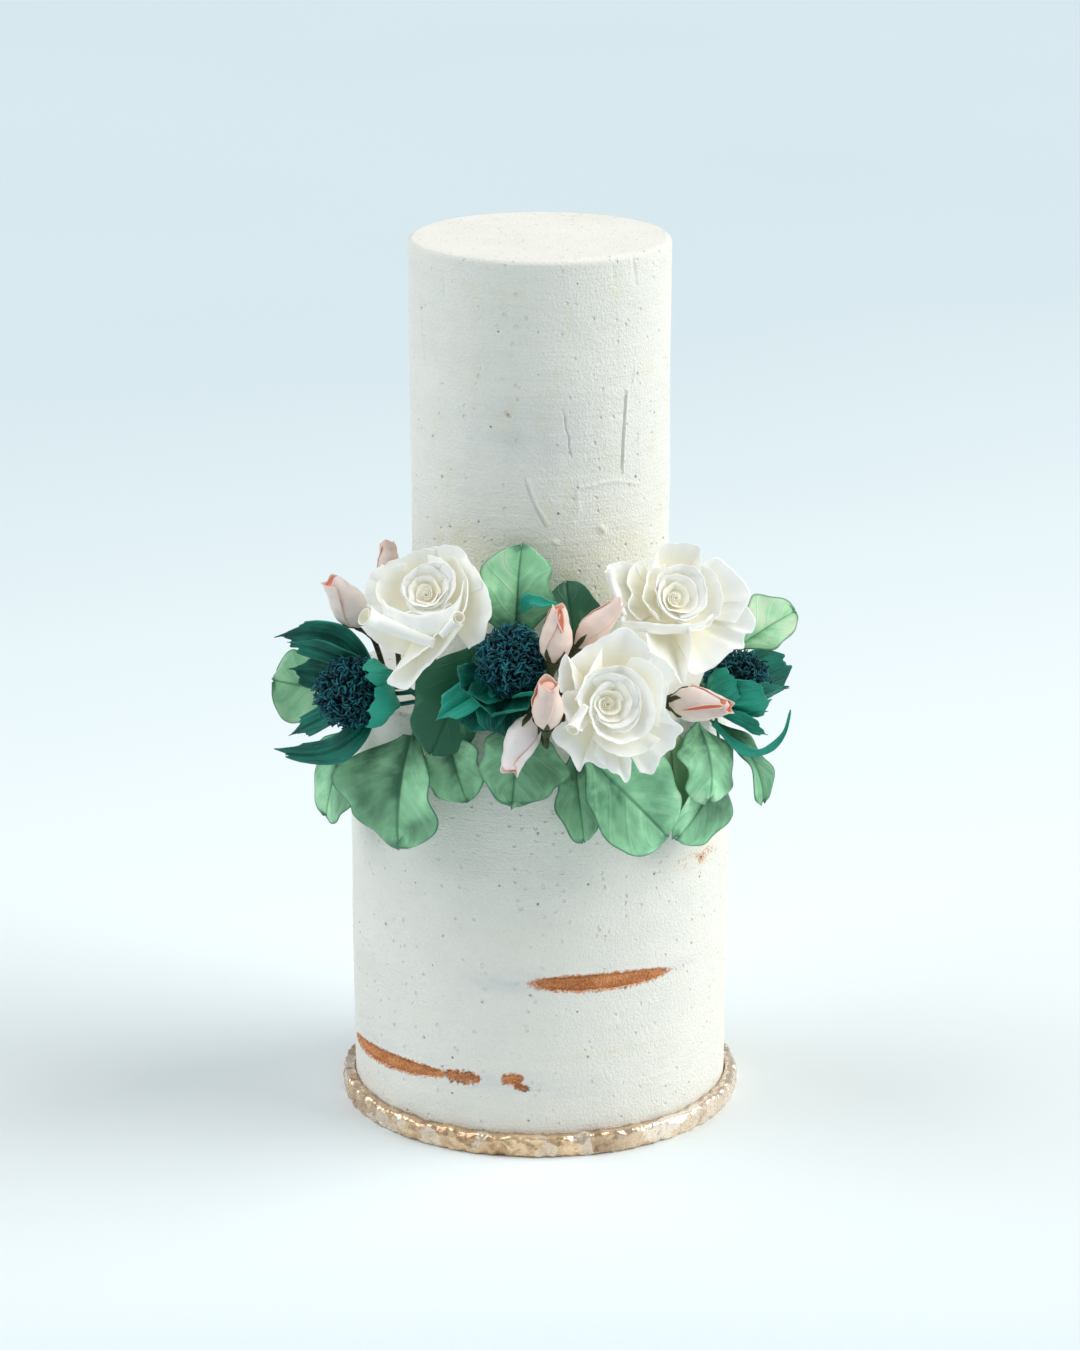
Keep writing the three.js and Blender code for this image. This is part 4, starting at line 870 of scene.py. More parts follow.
def leaf_finish(colours):
    """Sugar leaf in washes of green, with a groove for a midrib, faint side veins and a dark rim."""
    f = Finish("leaf_green")
    rim, light, warm = f.tones
    u, v, _ = f.parts(f.sheet)
    beside = f.node("ShaderNodeMath", {"operation": "ABSOLUTE"}, {0: u - 0.5})
    wash = f.noise(f.place, 46, 4.0, 0.5, 0.4)
    slant = v * 4.5 - beside * 3.5
    across = f.node("ShaderNodeCombineXYZ", {}, {0: slant * 1.7, 1: beside * 1.6, 2: light * 9})
    streak = f.noise(across, 1.0, 4.0)
    spots = f.ease(f.noise(f.place, 190, 4.0, 0.6), 0.5, 0.75)
    pools = f.ease(f.noise(f.place, 48, 2.0), 0.45, 0.62)
    side = f.node("ShaderNodeMath", {"operation": "PINGPONG"}, {0: slant, 1: 0.5})
    veins = (1 - f.ease(side, 0.0, 0.12)) * f.ease(beside, 0.02, 0.08)
    midrib = 1 - f.ease(beside, 0.008, 0.03)
    # Painted shadow of the fold along one side of the midrib, over the lower part of the blade
    fold_shadow = (1 - f.ease(beside, 0.0, 0.2)) * (u > 0.5) * (1 - f.ease(v, 0.35, 0.8))
    # The mix carries each leaf's lightness, partly painted light and shade
    shade = f.ease(wash, 0.34, 0.66) * 0.55 + f.ease(streak, 0.36, 0.64) * 0.22 + light * 0.92 + pools * 0.15
    shade = shade - fold_shadow * 0.55 - 0.37
    colour = f.blend(shade, colours.leaf_dark, colours.leaf_light)
    # Palest where the painted light is strongest
    colour = f.blend(f.ease(shade, 0.85, 1.5), colour, colours.leaf_pale)
    colour = f.blend(spots * 0.1, colour, colours.leaf_dark)
    colour = f.blend(warm * 0.55, colour, colours.leaf_olive)
    colour = f.blend(veins * light * 0.1, colour, colours.leaf_pale)
    # Painted shade in the midrib's groove
    colour = f.blend(midrib * 0.5, colour, colours.leaf_dark)
    colour = f.blend(rim * 0.75, colour, colours.leaf_rim)
    relief = wash * 0.4 + veins * 0.35 - midrib * 0.8
    return f.surface(colour, f.ease(wash, 0.3, 0.7, 0.42, 0.6), f.bump(relief, 0.0006, 0.5),
                     Subsurface_Weight=0.12, Subsurface_Radius=(0.6, 1.0, 0.6), Subsurface_Scale=0.002,
                     Specular_IOR_Level=0.4)


def bract_finish(colours):
    """Dark blue-green bract with fibres along it, brighter on its turned faces."""
    f = Finish("bract_teal")
    rim, bright, _ = f.tones
    fibres = f.noise(f.stretched(f.sheet, (38, 2.2, 1)), 1.0, 4.0, 0.65)
    wash = f.noise(f.place, 110, 3.0)
    # Each bract's brightness is partly painted light and shade
    shade = f.ease(fibres, 0.3, 0.75) * 0.45 + f.ease(wash, 0.35, 0.7) * 0.3 + bright * 0.65 - 0.08
    colour = f.blend(shade, colours.bract, colours.bract_bright)
    colour = f.blend(rim * 0.5, colour, colours.bract_bright)
    return f.surface(colour, 0.5, f.bump(fibres, 0.0007, 0.7), Specular_IOR_Level=0.4)


def fuzz_finish(colours):
    """Dense fibres, near black at their feet and petrol blue at their tips."""
    f = Finish("fuzz_blue")
    tip = f.node("ShaderNodeAttribute", {"attribute_name": "tip"}, output="Fac")
    own = f.node("ShaderNodeAttribute", {"attribute_name": "own"}, output="Fac")
    streak = f.noise(f.place, 900, 2.0)
    # Painted shade: each fibre darkens toward its foot
    colour = f.blend(f.ease(tip, 0.1, 1.0) * (own * 0.8 + 0.2), colours.fuzz, colours.fuzz_tip)
    return f.surface(colour, 0.6, f.bump(streak, 0.0003, 0.5), Specular_IOR_Level=0.35)


def calyx_finish(colours):
    """Dark olive sepals and taped wires."""
    f = Finish("calyx_green")
    tape = f.noise(f.stretched(f.sheet, (3, 60, 1)), 1.0, 3.0)
    colour = f.blend(f.ease(tape, 0.35, 0.7) * 0.6 + f.tones[0] * 0.5, colours.calyx, colours.calyx_pale)
    return f.surface(colour, 0.6, f.bump(tape, 0.0004, 0.6), Specular_IOR_Level=0.3)


def floor_finish(colours):
    """Plain pale studio floor."""
    f = Finish("studio_floor")
    tooth = f.noise(f.place, 500, 3.0)
    x, y, _ = f.parts(f.place)
    # Painted shade: the floor darkens further back and further to the left
    drift = f.ease(y - x * 0.5, -0.25, 1.7) * 0.85 + f.noise(f.place, 1.3, 2.0) * 0.15
    # Painted shade: darker again close to the front
    near = f.ease(y, -0.5, -0.06, 0.8, 0.0)
    colour = f.blend(drift + near, colours.floor, colours.floor_shade)
    return f.surface(colour, 0.85, f.bump(tooth, 0.0002, 0.2), Specular_IOR_Level=0.2)


def graded(low, high, coarse, fine_spans):
    """Values from low to high with coarse steps, and finer ones inside the given spans."""
    values = [low]
    while values[-1] < high - 1e-6:
        here = values[-1]
        steps = [step for start, end, step in fine_spans if start - 1e-6 <= here < end - 1e-6]
        edges = [start for start, _, _ in fine_spans if start > here + 1e-6] + [high]
        values.append(min(here + min(steps + [coarse]), *edges))
    return values


def around(coarse, fine_spans=()):
    """Angles of a full round from the back, with finer steps inside the given spans."""
    return graded(-180, ROUND_END, coarse, fine_spans)[:-1]


def no_tone(angle, z):
    return 0, 0, 0


def wobble(angle, z):
    """How far a tier is out of round."""
    turn = math.radians(angle) - math.pi / 2
    return 0.22 * math.sin(2 * turn + z * 0.021) + 0.14 * math.sin(5 * turn - z * 0.043)


def mark_relief(marks, radius, angle, z):
    """Sum of the scraper's marks at a point on a tier's side."""
    relief = 0.0
    for mark in marks:
        path = [(math.radians(a) * radius, h) for a, h in mark["path"]]
        here = (math.radians(angle) * radius, z)
        reach = 3.5 * mark["width"]
        if not (min(p[0] for p in path) - reach < here[0] < max(p[0] for p in path) + reach):
            continue
        if not (min(p[1] for p in path) - reach < here[1] < max(p[1] for p in path) + reach):
            continue
        nearest = 1e9
        for (ax, ay), (bx, by) in zip(path, path[1:]):
            span = (bx - ax) ** 2 + (by - ay) ** 2
            t = clamp(((here[0] - ax) * (bx - ax) + (here[1] - ay) * (by - ay)) / span)
            gap = math.hypot(here[0] - ax - t * (bx - ax), here[1] - ay - t * (by - ay))
            nearest = min(nearest, gap)
        relief += mark["relief"] * math.exp(-(nearest / mark["width"]) ** 2)
    return relief


def hand_relief(radius, angle, z):
    """Unevenness left by the scraper: long low swells and fine level drags."""
    a = math.radians(angle)
    x, y = radius * math.sin(a), radius * math.cos(a)
    swell = waver(x / 38, y / 38, z / 30) * 0.28
    drag = waver(x / 24, y / 24, z / 2.2) * 0.12
    dabs = waver(x / 5, y / 5, z / 4) * 0.07
    return swell + drag + dabs


def bare(angle, z):
    """How bare the bottom tier is at a point, over 0.5 where the sponge shows."""
    most = -1.0
    for number, patch in enumerate(BARE_PATCHES):
        u = (angle - patch["angle"]) / patch["length"]
        if abs(u) > 1.3:
            continue
        thick = patch["thick"] * (1 - 0.4 * max(u, 0) ** 1.8) * (1 - 0.3 * max(-u, 0) ** 3)
        h = (z - patch["height"] - patch["climb"] * u) / thick
        if abs(h) > 2.2:
            continue
        here = Vector((angle * 1.4, z, number * 7))
        ragged = (noise.noise(here * 0.42) * 0.5 + noise.noise(here * 1.3) * 0.45
                  + noise.noise(here * 2.6) * 0.4)
        value = 1 - 0.5 * (abs(u) ** 5 + abs(h) ** 2.2) + patch["ragged"] * ragged * 0.55 * (0.4 + abs(h))
        if patch["broken"]:
            value -= patch["broken"] * (0.5 + 1.6 * noise.noise(here * 1.1 + Vector((3, 5, 1))))
        most = max(most, value)
    return most


def bottom_radius(z):
    return mix(BOTTOM_RADIUS_LOW, BOTTOM_RADIUS_HIGH, z / LEDGE_HEIGHT)


def bottom_reach(angle, z):
    """How far the bottom tier's icing reaches from the axis."""
    worn = bare(angle, z)
    dip = SCRAPED_DEPTH * smooth(0.44, 0.58, worn) + 0.12 * smooth(0.1, 0.44, worn)
    return (bottom_radius(z) + wobble(angle, z) + hand_relief(BOTTOM_RADIUS_LOW, angle, z)
            + mark_relief(BOTTOM_MARKS, BOTTOM_RADIUS_LOW, angle, z) - dip)


def bottom_tone(angle, z):
    """Brown, thin and yellowish stains of the bottom tier's icing."""
    tones = [0.0, 0.0, 0.0]
    for stain in STAINS:
        u = (angle - stain["angle"]) / stain["length"]
        h = (z - stain["height"] - stain["climb"] * u) / stain["thick"]
        cloud = 0.75 + 0.7 * waver(angle / 5, z / 2.4, stain["height"])
        tones[stain["tone"]] += stain["strength"] * math.exp(-(u * u + h * h) * 1.4) * cloud
    worn = bare(angle, z)
    tones[0] += 0.78 * smooth(-0.65, 0.5, worn)
    return tuple(clamp(t) for t in tones)


def top_reach(angle, z):
    """How far the top tier's icing reaches from the axis."""
    return (TOP_RADIUS + 0.1 + wobble(angle, z) + hand_relief(TOP_RADIUS, angle, z)
            + mark_relief(TOP_MARKS, TOP_RADIUS, angle, z))


def top_tone(angle, z):
    """Brown, thin and yellowish stains of the top tier's icing."""
    # A bluish grey patch over the middle of the front, at mid height
    thin = 0.35 * hump(z, 293, 14) * hump(angle, -2, 26)
    warm = 0.45 * smooth(262, 236, z) * hump(angle, 5, 60)
    warm += 0.4 * smooth(0.1, 0.6, waver(angle / 8, z / 17, 8)) * smooth(TOTAL_HEIGHT, 350, z)
    cloud = 0.8 + 0.6 * waver(angle / 9, z / 6, 2)
    spot = hump(math.hypot((angle + 13.8) * 0.91, z - 300.6), 0, 0.9)
    return (clamp(0.9 * spot), clamp(thin * cloud), clamp(warm * cloud))


def ring(reach_at, z):
    return lambda angle: (reach_at(angle, z), z)


def cap_ring(reach_at, z, share):
    """A ring of a flat top, with the low swells that a spatula leaves."""
    def row(angle):
        reach = (reach_at(angle, z) - EDGE_ROUNDING) * share
        a = math.radians(angle)
        swell = waver(reach * math.sin(a) / 16, reach * math.cos(a) / 16, z)
        return reach, z + 0.22 * swell * smooth(1.0, 0.9, share)
    return row


def edge_ring(reach_at, z, turn):
    """A ring of the rounding at a tier's upper edge."""
    inset = EDGE_ROUNDING * (1 - math.cos(math.radians(turn)))
    drop = EDGE_ROUNDING * (1 - math.sin(math.radians(turn)))
    return lambda angle: (reach_at(angle, z - EDGE_ROUNDING) - inset, z - drop)


def tier_rings(reach_at, foot, top, coarse, fine_spans):
    """All rings of a tier's outside, from its foot over the rounded edge to the middle of its top."""
    rings = [ring(reach_at, z) for z in graded(foot, top - EDGE_ROUNDING, coarse, fine_spans)]
    rings += [edge_ring(reach_at, top, turn) for turn in ROUNDING_TURNS]
    return rings + [cap_ring(reach_at, top, share) for share in CAP_SHARES]


def make_tiers(colours):
    """The icing of both tiers: a solid upper one and a skin over the lower one's sponge."""
    finish = icing_finish(colours)
    upper = Paste()
    rings = tier_rings(top_reach, ROOT_HEIGHT + 0.1, TOTAL_HEIGHT, *TOP_ROWS)
    upper.turned(rings, around(*TOP_COLUMNS), top_tone)
    place_piece(upper.object("top_tier_icing", finish), "icing", "top_tier")

    lower = Paste()
    inner = [sponge_ring(z) for z in (LEDGE_HEIGHT - ICING_THICKNESS, LEDGE_HEIGHT / 2, SKIN_FOOT)]
    rings = tier_rings(bottom_reach, SKIN_FOOT, LEDGE_HEIGHT, *BOTTOM_ROWS)
    lower.turned(inner + rings, around(*BOTTOM_COLUMNS), bottom_tone)
    place_piece(lower.object("bottom_tier_icing", finish), "icing", "bottom_icing")


def sponge_ring(z, clear=0.0):
    """A ring on the inner side of the icing skin, or clear of it."""
    return ring(lambda angle, height: bottom_radius(height) - ICING_THICKNESS - clear, z)


def crumb_point(patch, half_angle, half_height):
    """The rough crumb of one bare patch; u runs round the tier and v up it."""
    def at(u, v):
        angle = patch["angle"] + u * half_angle
        z = patch["height"] + (2 * v - 1) * half_height + patch["climb"] * u
        here = Vector((angle * 1.35, z, 3))
        rough = 0.22 * noise.noise(here * 0.9) + 0.16 * noise.noise(here * 2.3)
        reach = bottom_radius(z) + wobble(angle, z) - CRUMB_SINK + rough
        return on_round(angle, reach, z)
    return at


def crumb_edge_shade(shore):
    """Darker beyond the shore of a bare patch, where the icing begins."""
    def tone(u, v, side):
        return 0.7 * smooth(0.45, 1.05, abs(2 * v - 1) / shore), 0, 0
    return tone


def make_sponge(colours):
    """The bottom tier's sponge, with rough crumb wherever the icing is scraped away."""
    paste = Paste()
    core = [sponge_ring(z, SPONGE_GAP) for z in (0, 60, 120, LEDGE_HEIGHT - ICING_THICKNESS - SPONGE_GAP)]
    paste.turned(core, around(3.0), no_tone)
    for patch in BARE_PATCHES:
        half_angle = patch["length"] * CRUMB_ALONG
        half_height = patch["thick"] * CRUMB_ACROSS + abs(patch["climb"])
        columns = max(12, int(half_angle * 2 * 1.35 / CRUMB_STEP))
        rows = max(8, int(half_height * 2 / CRUMB_STEP))
        paste.sheet(crumb_point(patch, half_angle, half_height), columns, rows,
                    lambda u, v: CRUMB_THICKNESS, crumb_edge_shade(patch["thick"] / half_height))
    place_piece(paste.object("sponge_crumb", sponge_finish(colours)), "sponge", "bottom_sponge")


def make_border(colours):
    """The crumpled band of gold paste pressed round the foot."""
    paste = Paste()
    width = BORDER_OUTER - BORDER_INNER
    section = []
    for step in range(17):
        turn = math.radians(-88 + step * 176 / 16)
        full = math.copysign(abs(math.sin(turn)) ** 0.8, turn)
        section.append((BORDER_INNER + width * (0.25 + 0.75 * math.cos(turn) ** 0.36),
                        BORDER_HEIGHT * (0.5 + 0.5 * full)))
    section = [(BORDER_INNER, 0.0)] + section + [(BORDER_INNER, BORDER_HEIGHT)]

    def row(reach, z):
        show = smooth(BORDER_INNER, BORDER_INNER + 1.5, reach)

        def at(angle):
            a = math.radians(angle)
            here = Vector((BORDER_OUTER * math.sin(a), BORDER_OUTER * math.cos(a), z))
            fold = 1 - abs(noise.noise(here * 0.15)) * 2.2
            crease = 1 - abs(noise.noise(here * 0.36 + Vector((4, 1, 7)))) * 2.6
            fine = noise.noise(here * 1.2)
            lump = show * (0.55 * (fold - 0.6) + 0.5 * (crease - 0.55) + 0.08 * fine)
            lift = 0.9 * waver(here.x / 7, here.y / 7, 5) * smooth(2, BORDER_HEIGHT, z)
            sway = 0.5 * waver(here.x / 4, here.y / 4, 9) * smooth(4, BORDER_HEIGHT, z)
            spill = 0.6 * waver(here.x / 5, here.y / 5, 2) * smooth(4, 0, z) * show
            return reach + lump + spill, max(z + lift + sway + 0.3 * lump * smooth(5, 9, z), 0.0)
        return at
    rows = [row(reach, z) for reach, z in section]
    paste.turned(rows, around(BORDER_COLUMN), no_tone, closed=True)
    place_piece(paste.object("gold_border_paste", gold_finish(colours)), "gold_paste", "gold_border")


def petal_point(petal):
    """A petal in its flower's frame, drawn from the heart to its rim; u across it and v along it."""
    rim = [Vector(p) for p in petal["rim"]]
    skirt = Vector((*petal["skirt"], 0))
    seed = rim[0].x + 3 * rim[-1].y
    reach = sum(math.hypot(p.x, p.y) for p in rim) / len(rim)
    depth = max(PETAL_DEPTH, -3.5 - 0.52 * reach)

    def at(u, v):
        edge = curve_point(rim, (u + 1) / 2)
        flat = Vector((edge.x, edge.y, 0))
        out = flat.normalized()
        start = flat * 0.1 + Vector((0, 0, depth))
        low = (flat + skirt) * 0.62 * petal["belly"] + Vector((0, 0, mix(edge.z, depth, 0.74)))
        high = flat * petal["belly"] + skirt + Vector((0, 0, edge.z - petal["drop"]))
        w = 1 - v
        point = start * w ** 3 + low * (3 * w * w * v) + high * (3 * w * v * v) + edge * v ** 3
        rolled = smooth(0.84, 1.0, v) * petal["lip"]
        frill = waver(edge.x * 0.2, edge.y * 0.2, seed) * 1.1 * v ** 3
        flick = waver(edge.x * 0.34, edge.y * 0.34, seed + 9) * 0.7 * v ** 4
        ripple = waver(edge.x * 0.12, edge.y * 0.12, seed + 3 * v) * 0.8 * v * w * 4
        return point + out * (rolled + ripple + flick) + Vector((0, 0, frill - 0.6 * rolled * rolled))
    return at


def petal_thickness(u, v):
    """Thin at the rim and stouter inside it."""
    edge = smooth(0.0, 0.2, min(1 - abs(u), 1 - v))
    return mix(0.16, 0.5, edge)


def rose_depth_shade(heart_share):
    """Cream in the depth of the flower, and in all of a petal near its heart."""
    def tone(u, v, side):
        return clamp(0.9 * (1 - smooth(0.35, 0.92, v)) + 0.55 * heart_share), 0, 0
    return tone


def inner_petals(spec):
    """Petals between the rose's eye and its outer ones, each a step further out and round."""
    first, last, count = spec["inner"]
    made = []
    for k in range(count):
        share = k / (count - 1)
        reach = mix(first, last, share)
        half = mix(100, 74, share)
        drift = [side * share for side in spec["drift"]]
        rim = []
        for step in range(7):
            lean = step / 3 - 1
            turn = math.radians(spec["shift"] + k * GOLDEN_TURN + 26 * draw(k * 3) + lean * half)
            r = reach * (1 + 0.13 * lean) + mix(0.2, 0.9, share) * (draw(k * 7 + step * 2) - 0.5)
            rise = mix(-1.4, 0.9, share) - 1.5 * abs(lean) ** 2.2 + 0.7 * draw(k * 5 + step * 3)
            rim.append((drift[0] + r * math.cos(turn), drift[1] + r * math.sin(turn), rise))
        made.append(rimmed(mix(0.9, 0.76, share), 2.8, mix(0.15, 0.45, share), rim))
    return made


def rose_eye(spec):
    """The tight scroll of paste at a rose's centre."""
    def at(u, v):
        t = (u + 1) / 2
        turn = math.radians(spec["shift"]) + t * 2.4 * 2 * math.pi
        r = 0.35 + 1.7 * t + 0.3 * v ** 3
        return in_flower(turn, r, mix(-9, -0.7 - 1.0 * t, v))
    return at


def scroll_point(path, wide, narrow):
    """A rolled petal edge from its open end to where it dies away."""
    points = [Vector(p) for p in path]

    def at(u, v):
        t = (u + 1) / 2
        ahead = heading(points, v, 0.05)
        side = ahead.cross(Vector((0, 0, 1))).normalized()
        turn = math.radians(200 - 480 * t)
        r = mix(wide, narrow, v) * mix(1.0, 0.6, t)
        return curve_point(points, v) + (side * math.cos(turn) + side.cross(ahead) * math.sin(turn)) * r
    return at


def make_roses(colours):
    """Three white sugar roses: outer petals, wrapped inner ones, the eye and the swell behind."""
    finish = petal_finish(colours)
    for name, spec in ROSES.items():
        paste = Paste()
        place = flower_frame(Vector(spec["heart"]), aim(*spec["aim"]))
        for petal in spec["petals"]:
            paste.sheet(petal_point(petal), *OUTER_PETAL_GRID, petal_thickness, rose_depth_shade(0), place)
        inner = inner_petals(spec)
        for number, petal in enumerate(inner):
            near = 1 - number / len(inner)
            paste.sheet(petal_point(petal), *INNER_PETAL_GRID, petal_thickness, rose_depth_shade(near), place)
        for scroll in spec["scrolls"]:
            # A scroll is creamier inside its roll, as painted shade
            paste.sheet(scroll_point(*scroll), *SCROLL_GRID, lambda u, v: 0.3,
                        lambda u, v, side: (0.1 + 0.6 * side, 0, 0), place)
        paste.sheet(rose_eye(spec), *EYE_GRID, petal_thickness, rose_depth_shade(1), place)
        size = spec["swell"]
        swell = [(-ROLL_DEPTH, 2.4), (-18.6, 5.2), (-15, 7.6 * size), (-10.5, 9.4 * size), (-7.8, 8.8 * size)]
        # The swell behind the petals takes the full painted shade
        paste.core(swell, 24, 12, (1, 0, 0), place)
        place_piece(paste.object(f"{name}_petals", finish), "white_petal", name)


def bud_share(height):
    """Share of a bud's radius at a share of its height."""
    for (r0, h0), (r1, h1) in zip(BUD_PROFILE, BUD_PROFILE[1:]):
        if height <= h1:
            return mix(r0, r1, smooth(h0, h1, height) * 0.5 + 0.5 * clamp((height - h0) / (h1 - h0)))
    return BUD_PROFILE[-1][0]


def bud_place(spec):
    """A bud's own frame and its length."""
    foot = Vector(spec["foot"])
    facing = Vector(spec["tip"]) - foot
    return flower_frame(foot, facing.normalized()), facing.length


def bud_wrap(spec, length, number):
    """One of three petals wrapped round a bud; its leading edge lies over the next one."""
    radius = spec["radius"]
    begin = spec["spin"] + number * 120
    leading = number == 0

    def at(u, v):
        top = 1 - 0.10 * abs(u) ** 2 + 0.035 * math.exp(-((u / 0.3) ** 2)) - 0.02 * number
        height = v * top
        span = mix(96, 88, v)
        turn = math.radians(begin + u * span + 70 * v)
        layer = mix(0.93, 1.035, (u + 1) / 2)
        gape = spec["gape"] * smooth(0.3, 0.85, v) * smooth(0.2, 1.0, u) if leading else 0
        flare = spec["crown"] * smooth(0.75, 1.0, v) * (1 - 0.6 * abs(u))
        dent = 0.05 * waver(u * 2.2, v * 3.1, number + radius)
        r = radius * bud_share(height) * (layer + dent) + gape + flare
        r += 0.25 * hump(u, 0.97, 0.08) * smooth(0.2, 0.5, v)
        return in_flower(turn, r, height * length)
    return at


def bud_slit(spec, place, length):
    """The narrow opening between two petals on the side of a bud that shows, as a shallow lined groove."""
    seen = place.inverted().to_3x3() @ Vector((0, -1, 0.3))
    offset, low, high, wide = spec["slit"]

    def at(u, v):
        height = mix(low, high, v)
        r = spec["radius"] * bud_share(height) * 1.05 + 0.15 + 0.5 * u * u
        half = wide * math.sin(math.pi * mix(0.04, 0.8, v)) / 2
        turn = math.atan2(seen.y, seen.x) + math.radians(offset + 22 * (0.5 - v)) + u * half / r
        return in_flower(turn, r, height * length)
    return at


def bud_tone(light):
    """Coral inside the wrap and along its edge, and the bud's own paleness."""
    def tone(u, v, side):
        inside = 1.0 if side == 1 else 0.0
        edge = 0.3 * smooth(0.9, 1.0, u) * smooth(0.3, 0.9, v) + 0.12 * smooth(0.94, 1.0, v)
        return clamp(inside * 0.55 * smooth(0.2, 0.9, u) + inside * 0.2 + edge), light, 0
    return tone


def make_buds(colours):
    """Seven blush rosebuds, each a coral heart with three wrapped petals."""
    finish = bud_finish(colours)
    for name, spec in BUDS.items():
        paste = Paste()
        place, length = bud_place(spec)
        for number in range(3):
            paste.sheet(bud_wrap(spec, length, number), *WRAP_GRID, lambda u, v: mix(0.5, 0.3, v),
                        bud_tone(spec["light"]), place)
        path = [Vector((0, 0, length * h)) for h in (0.02, 0.25, 0.5, 0.75, 0.93)]
        paste.tube(path, lambda t: spec["radius"] * bud_share(0.02 + 0.91 * t) * 0.86 + 0.05, 24, 16,
                   (spec["heart"], 0, 0), place)
        if spec["slit"]:
            paste.sheet(bud_slit(spec, place, length), *SLIT_GRID, lambda u, v: 0.3,
                        lambda u, v, side: (1 - 0.95 * smooth(0.5, 0.95, abs(u)), 0, 0), place)
        place_piece(paste.object(f"{name}_petals", finish), "pink_petal", name)


def sepal_point(spec, length, number):
    """One of five pointed sepals that lie on the foot of a bud."""
    def at(u, v):
        height = mix(-0.05, 0.25, v)
        r = spec["radius"] * bud_share(max(height, 0.02)) * 1.04 + 0.3
        half = 0.56 * (1 - v) ** 1.3 * (0.6 + v) + 0.02
        turn = math.radians(spec["spin"] + 20) + 2 * math.pi * number / 5 + u * half
        return in_flower(turn, r, height * length + 0.3 * v)
    return at


def make_calyxes(colours):
    """Green cups with pointed sepals under the buds, and the taped wires of buds and roses."""
    finish = calyx_finish(colours)
    for name, spec in BUDS.items():
        paste = Paste()
        place, length = bud_place(spec)
        for number in range(5):
            paste.sheet(sepal_point(spec, length, number), *SEPAL_GRID, lambda u, v: 0.5,
                        lambda u, v, side: (0.5 * v, 0, 0), place)
        cup = [(-6.0, 1.1), (-4.0, 1.5), (-1.6, 2.4), (0.2, spec["radius"] * 0.46 + 0.4)]
        paste.core(cup, 16, 10, (0.2, 0, 0), place)
        paste.wire(place, -4, -9, spec["root"])
        place_piece(paste.object(f"{name}_sepals", finish), "calyx_green", f"{name}_calyx")
    for name, spec in ROSES.items():
        paste = Paste()
        place = flower_frame(Vector(spec["heart"]), aim(*spec["aim"]))
        paste.wire(place, -ROLL_DEPTH + 0.4, -ROLL_DEPTH - 3.2, spec["root"])
        place_piece(paste.object(f"{name}_wire", finish), "calyx_green", f"{name}_stem")


def blade_half(spec, u, v):
    """Half width of a blade, rounded at its tip."""
    values = spec["left"] if u < 0 else spec["right"]
    round_tip = math.sqrt(max(1 - (max(v - 0.76, 0) / 0.24) ** 2, 0))
    return mix(0.4, along([*values[:-1], values[-2] * 0.85], v), round_tip)


def blade_point(spec, facing):
    """A leaf's blade between foot and tip, with its face turned to the way given."""
    foot = Vector(spec["foot"])
    tip = Vector(spec["tip"])
    length = (tip - foot).length
    onwards = (tip - foot).normalized()
    face = (facing - onwards * facing.dot(onwards)).normalized()
    right = onwards.cross(face)
    fold = math.radians(spec["fold"])
    sweep, wave, lobes = spec["sweep"], spec["edge"], spec["lobes"]

    def at(u, v):
        half = blade_half(spec, u, v)
        half += wave * math.sin(v * 13 + length + (2 if u < 0 else 0)) * smooth(0.1, 0.4, v) * (1 - v ** 3)
        out = abs(u) * half
        notch = 0.55 + 0.3 * math.sin(u * 4.4 + length) + 0.15 * math.sin(u * 10 + 2 * length)
        v = v * (1 - lobes * notch * smooth(0.45, 1.0, v))
        arch = 4 * v * (1 - v)
        lift = spec["bow"] * arch
        lift += spec["ripple"] * abs(u) * math.sin(v * 9 + (2 if u < 0 else 0.5) + length)
        lift += 0.25 * spec["ripple"] * abs(u) ** 3 * math.sin(v * 23 + length)
        side = -1 if u < 0 else 1
        return (foot + onwards * length * v + right * (side * out * math.cos(fold) + sweep * arch)
                + face * (lift + out * math.sin(fold) - 0.5 * math.exp(-(out / 0.9) ** 2)))
    return at


def leaf_tone(spec):
    """Darker rim, and the leaf's own lightness and warmth."""
    def tone(u, v, side):
        half = max(blade_half(spec, u, v), 1)
        edge = min((1 - abs(u)) * half, (1 - v) * 30)
        # Lightness, partly painted light and shade: weaker on the back face as painted shade, darker toward
        # the foot and lighter toward the edges
        light = spec["light"] * (0.75 if side else 1) - 0.4 * (1 - smooth(0, 0.5, v)) + 0.16 * u * u
        return 1 - smooth(0.25, 1.0, edge), light, spec["warm"]
    return tone


def make_leaves(colours):
    """Sixteen sugar leaves, each with its stalk back to the ledge."""
    finish = leaf_finish(colours)
    for name, spec in LEAVES.items():
        paste = Paste()
        blade = blade_point(spec, aim(*spec["aim"]))
        paste.sheet(blade, *LEAF_GRID,
                    lambda u, v: mix(0.3, 0.8, smooth(0, 0.15, min(1 - abs(u), 1 - v))), leaf_tone(spec))
        foot = Vector(spec["foot"])
        reach = math.hypot(foot.x, foot.y)
        root_reach = min(reach - 4, STALK_REACH)
        root = Vector((foot.x * root_reach / reach, foot.y * root_reach / reach, ROOT_HEIGHT + 0.4))
        bend = Vector((mix(foot.x, root.x, 0.4), mix(foot.y, root.y, 0.4), max(foot.z, ROOT_HEIGHT) + 2))
        paste.tube([root, bend, blade(0, 0), blade(0, 0.12)], lambda t: mix(0.9, 0.45, t), *STALK_GRID,
                   (0.6, spec["light"], spec["warm"]))
        place_piece(paste.object(f"{name}_blade", finish), "leaf_green", name)


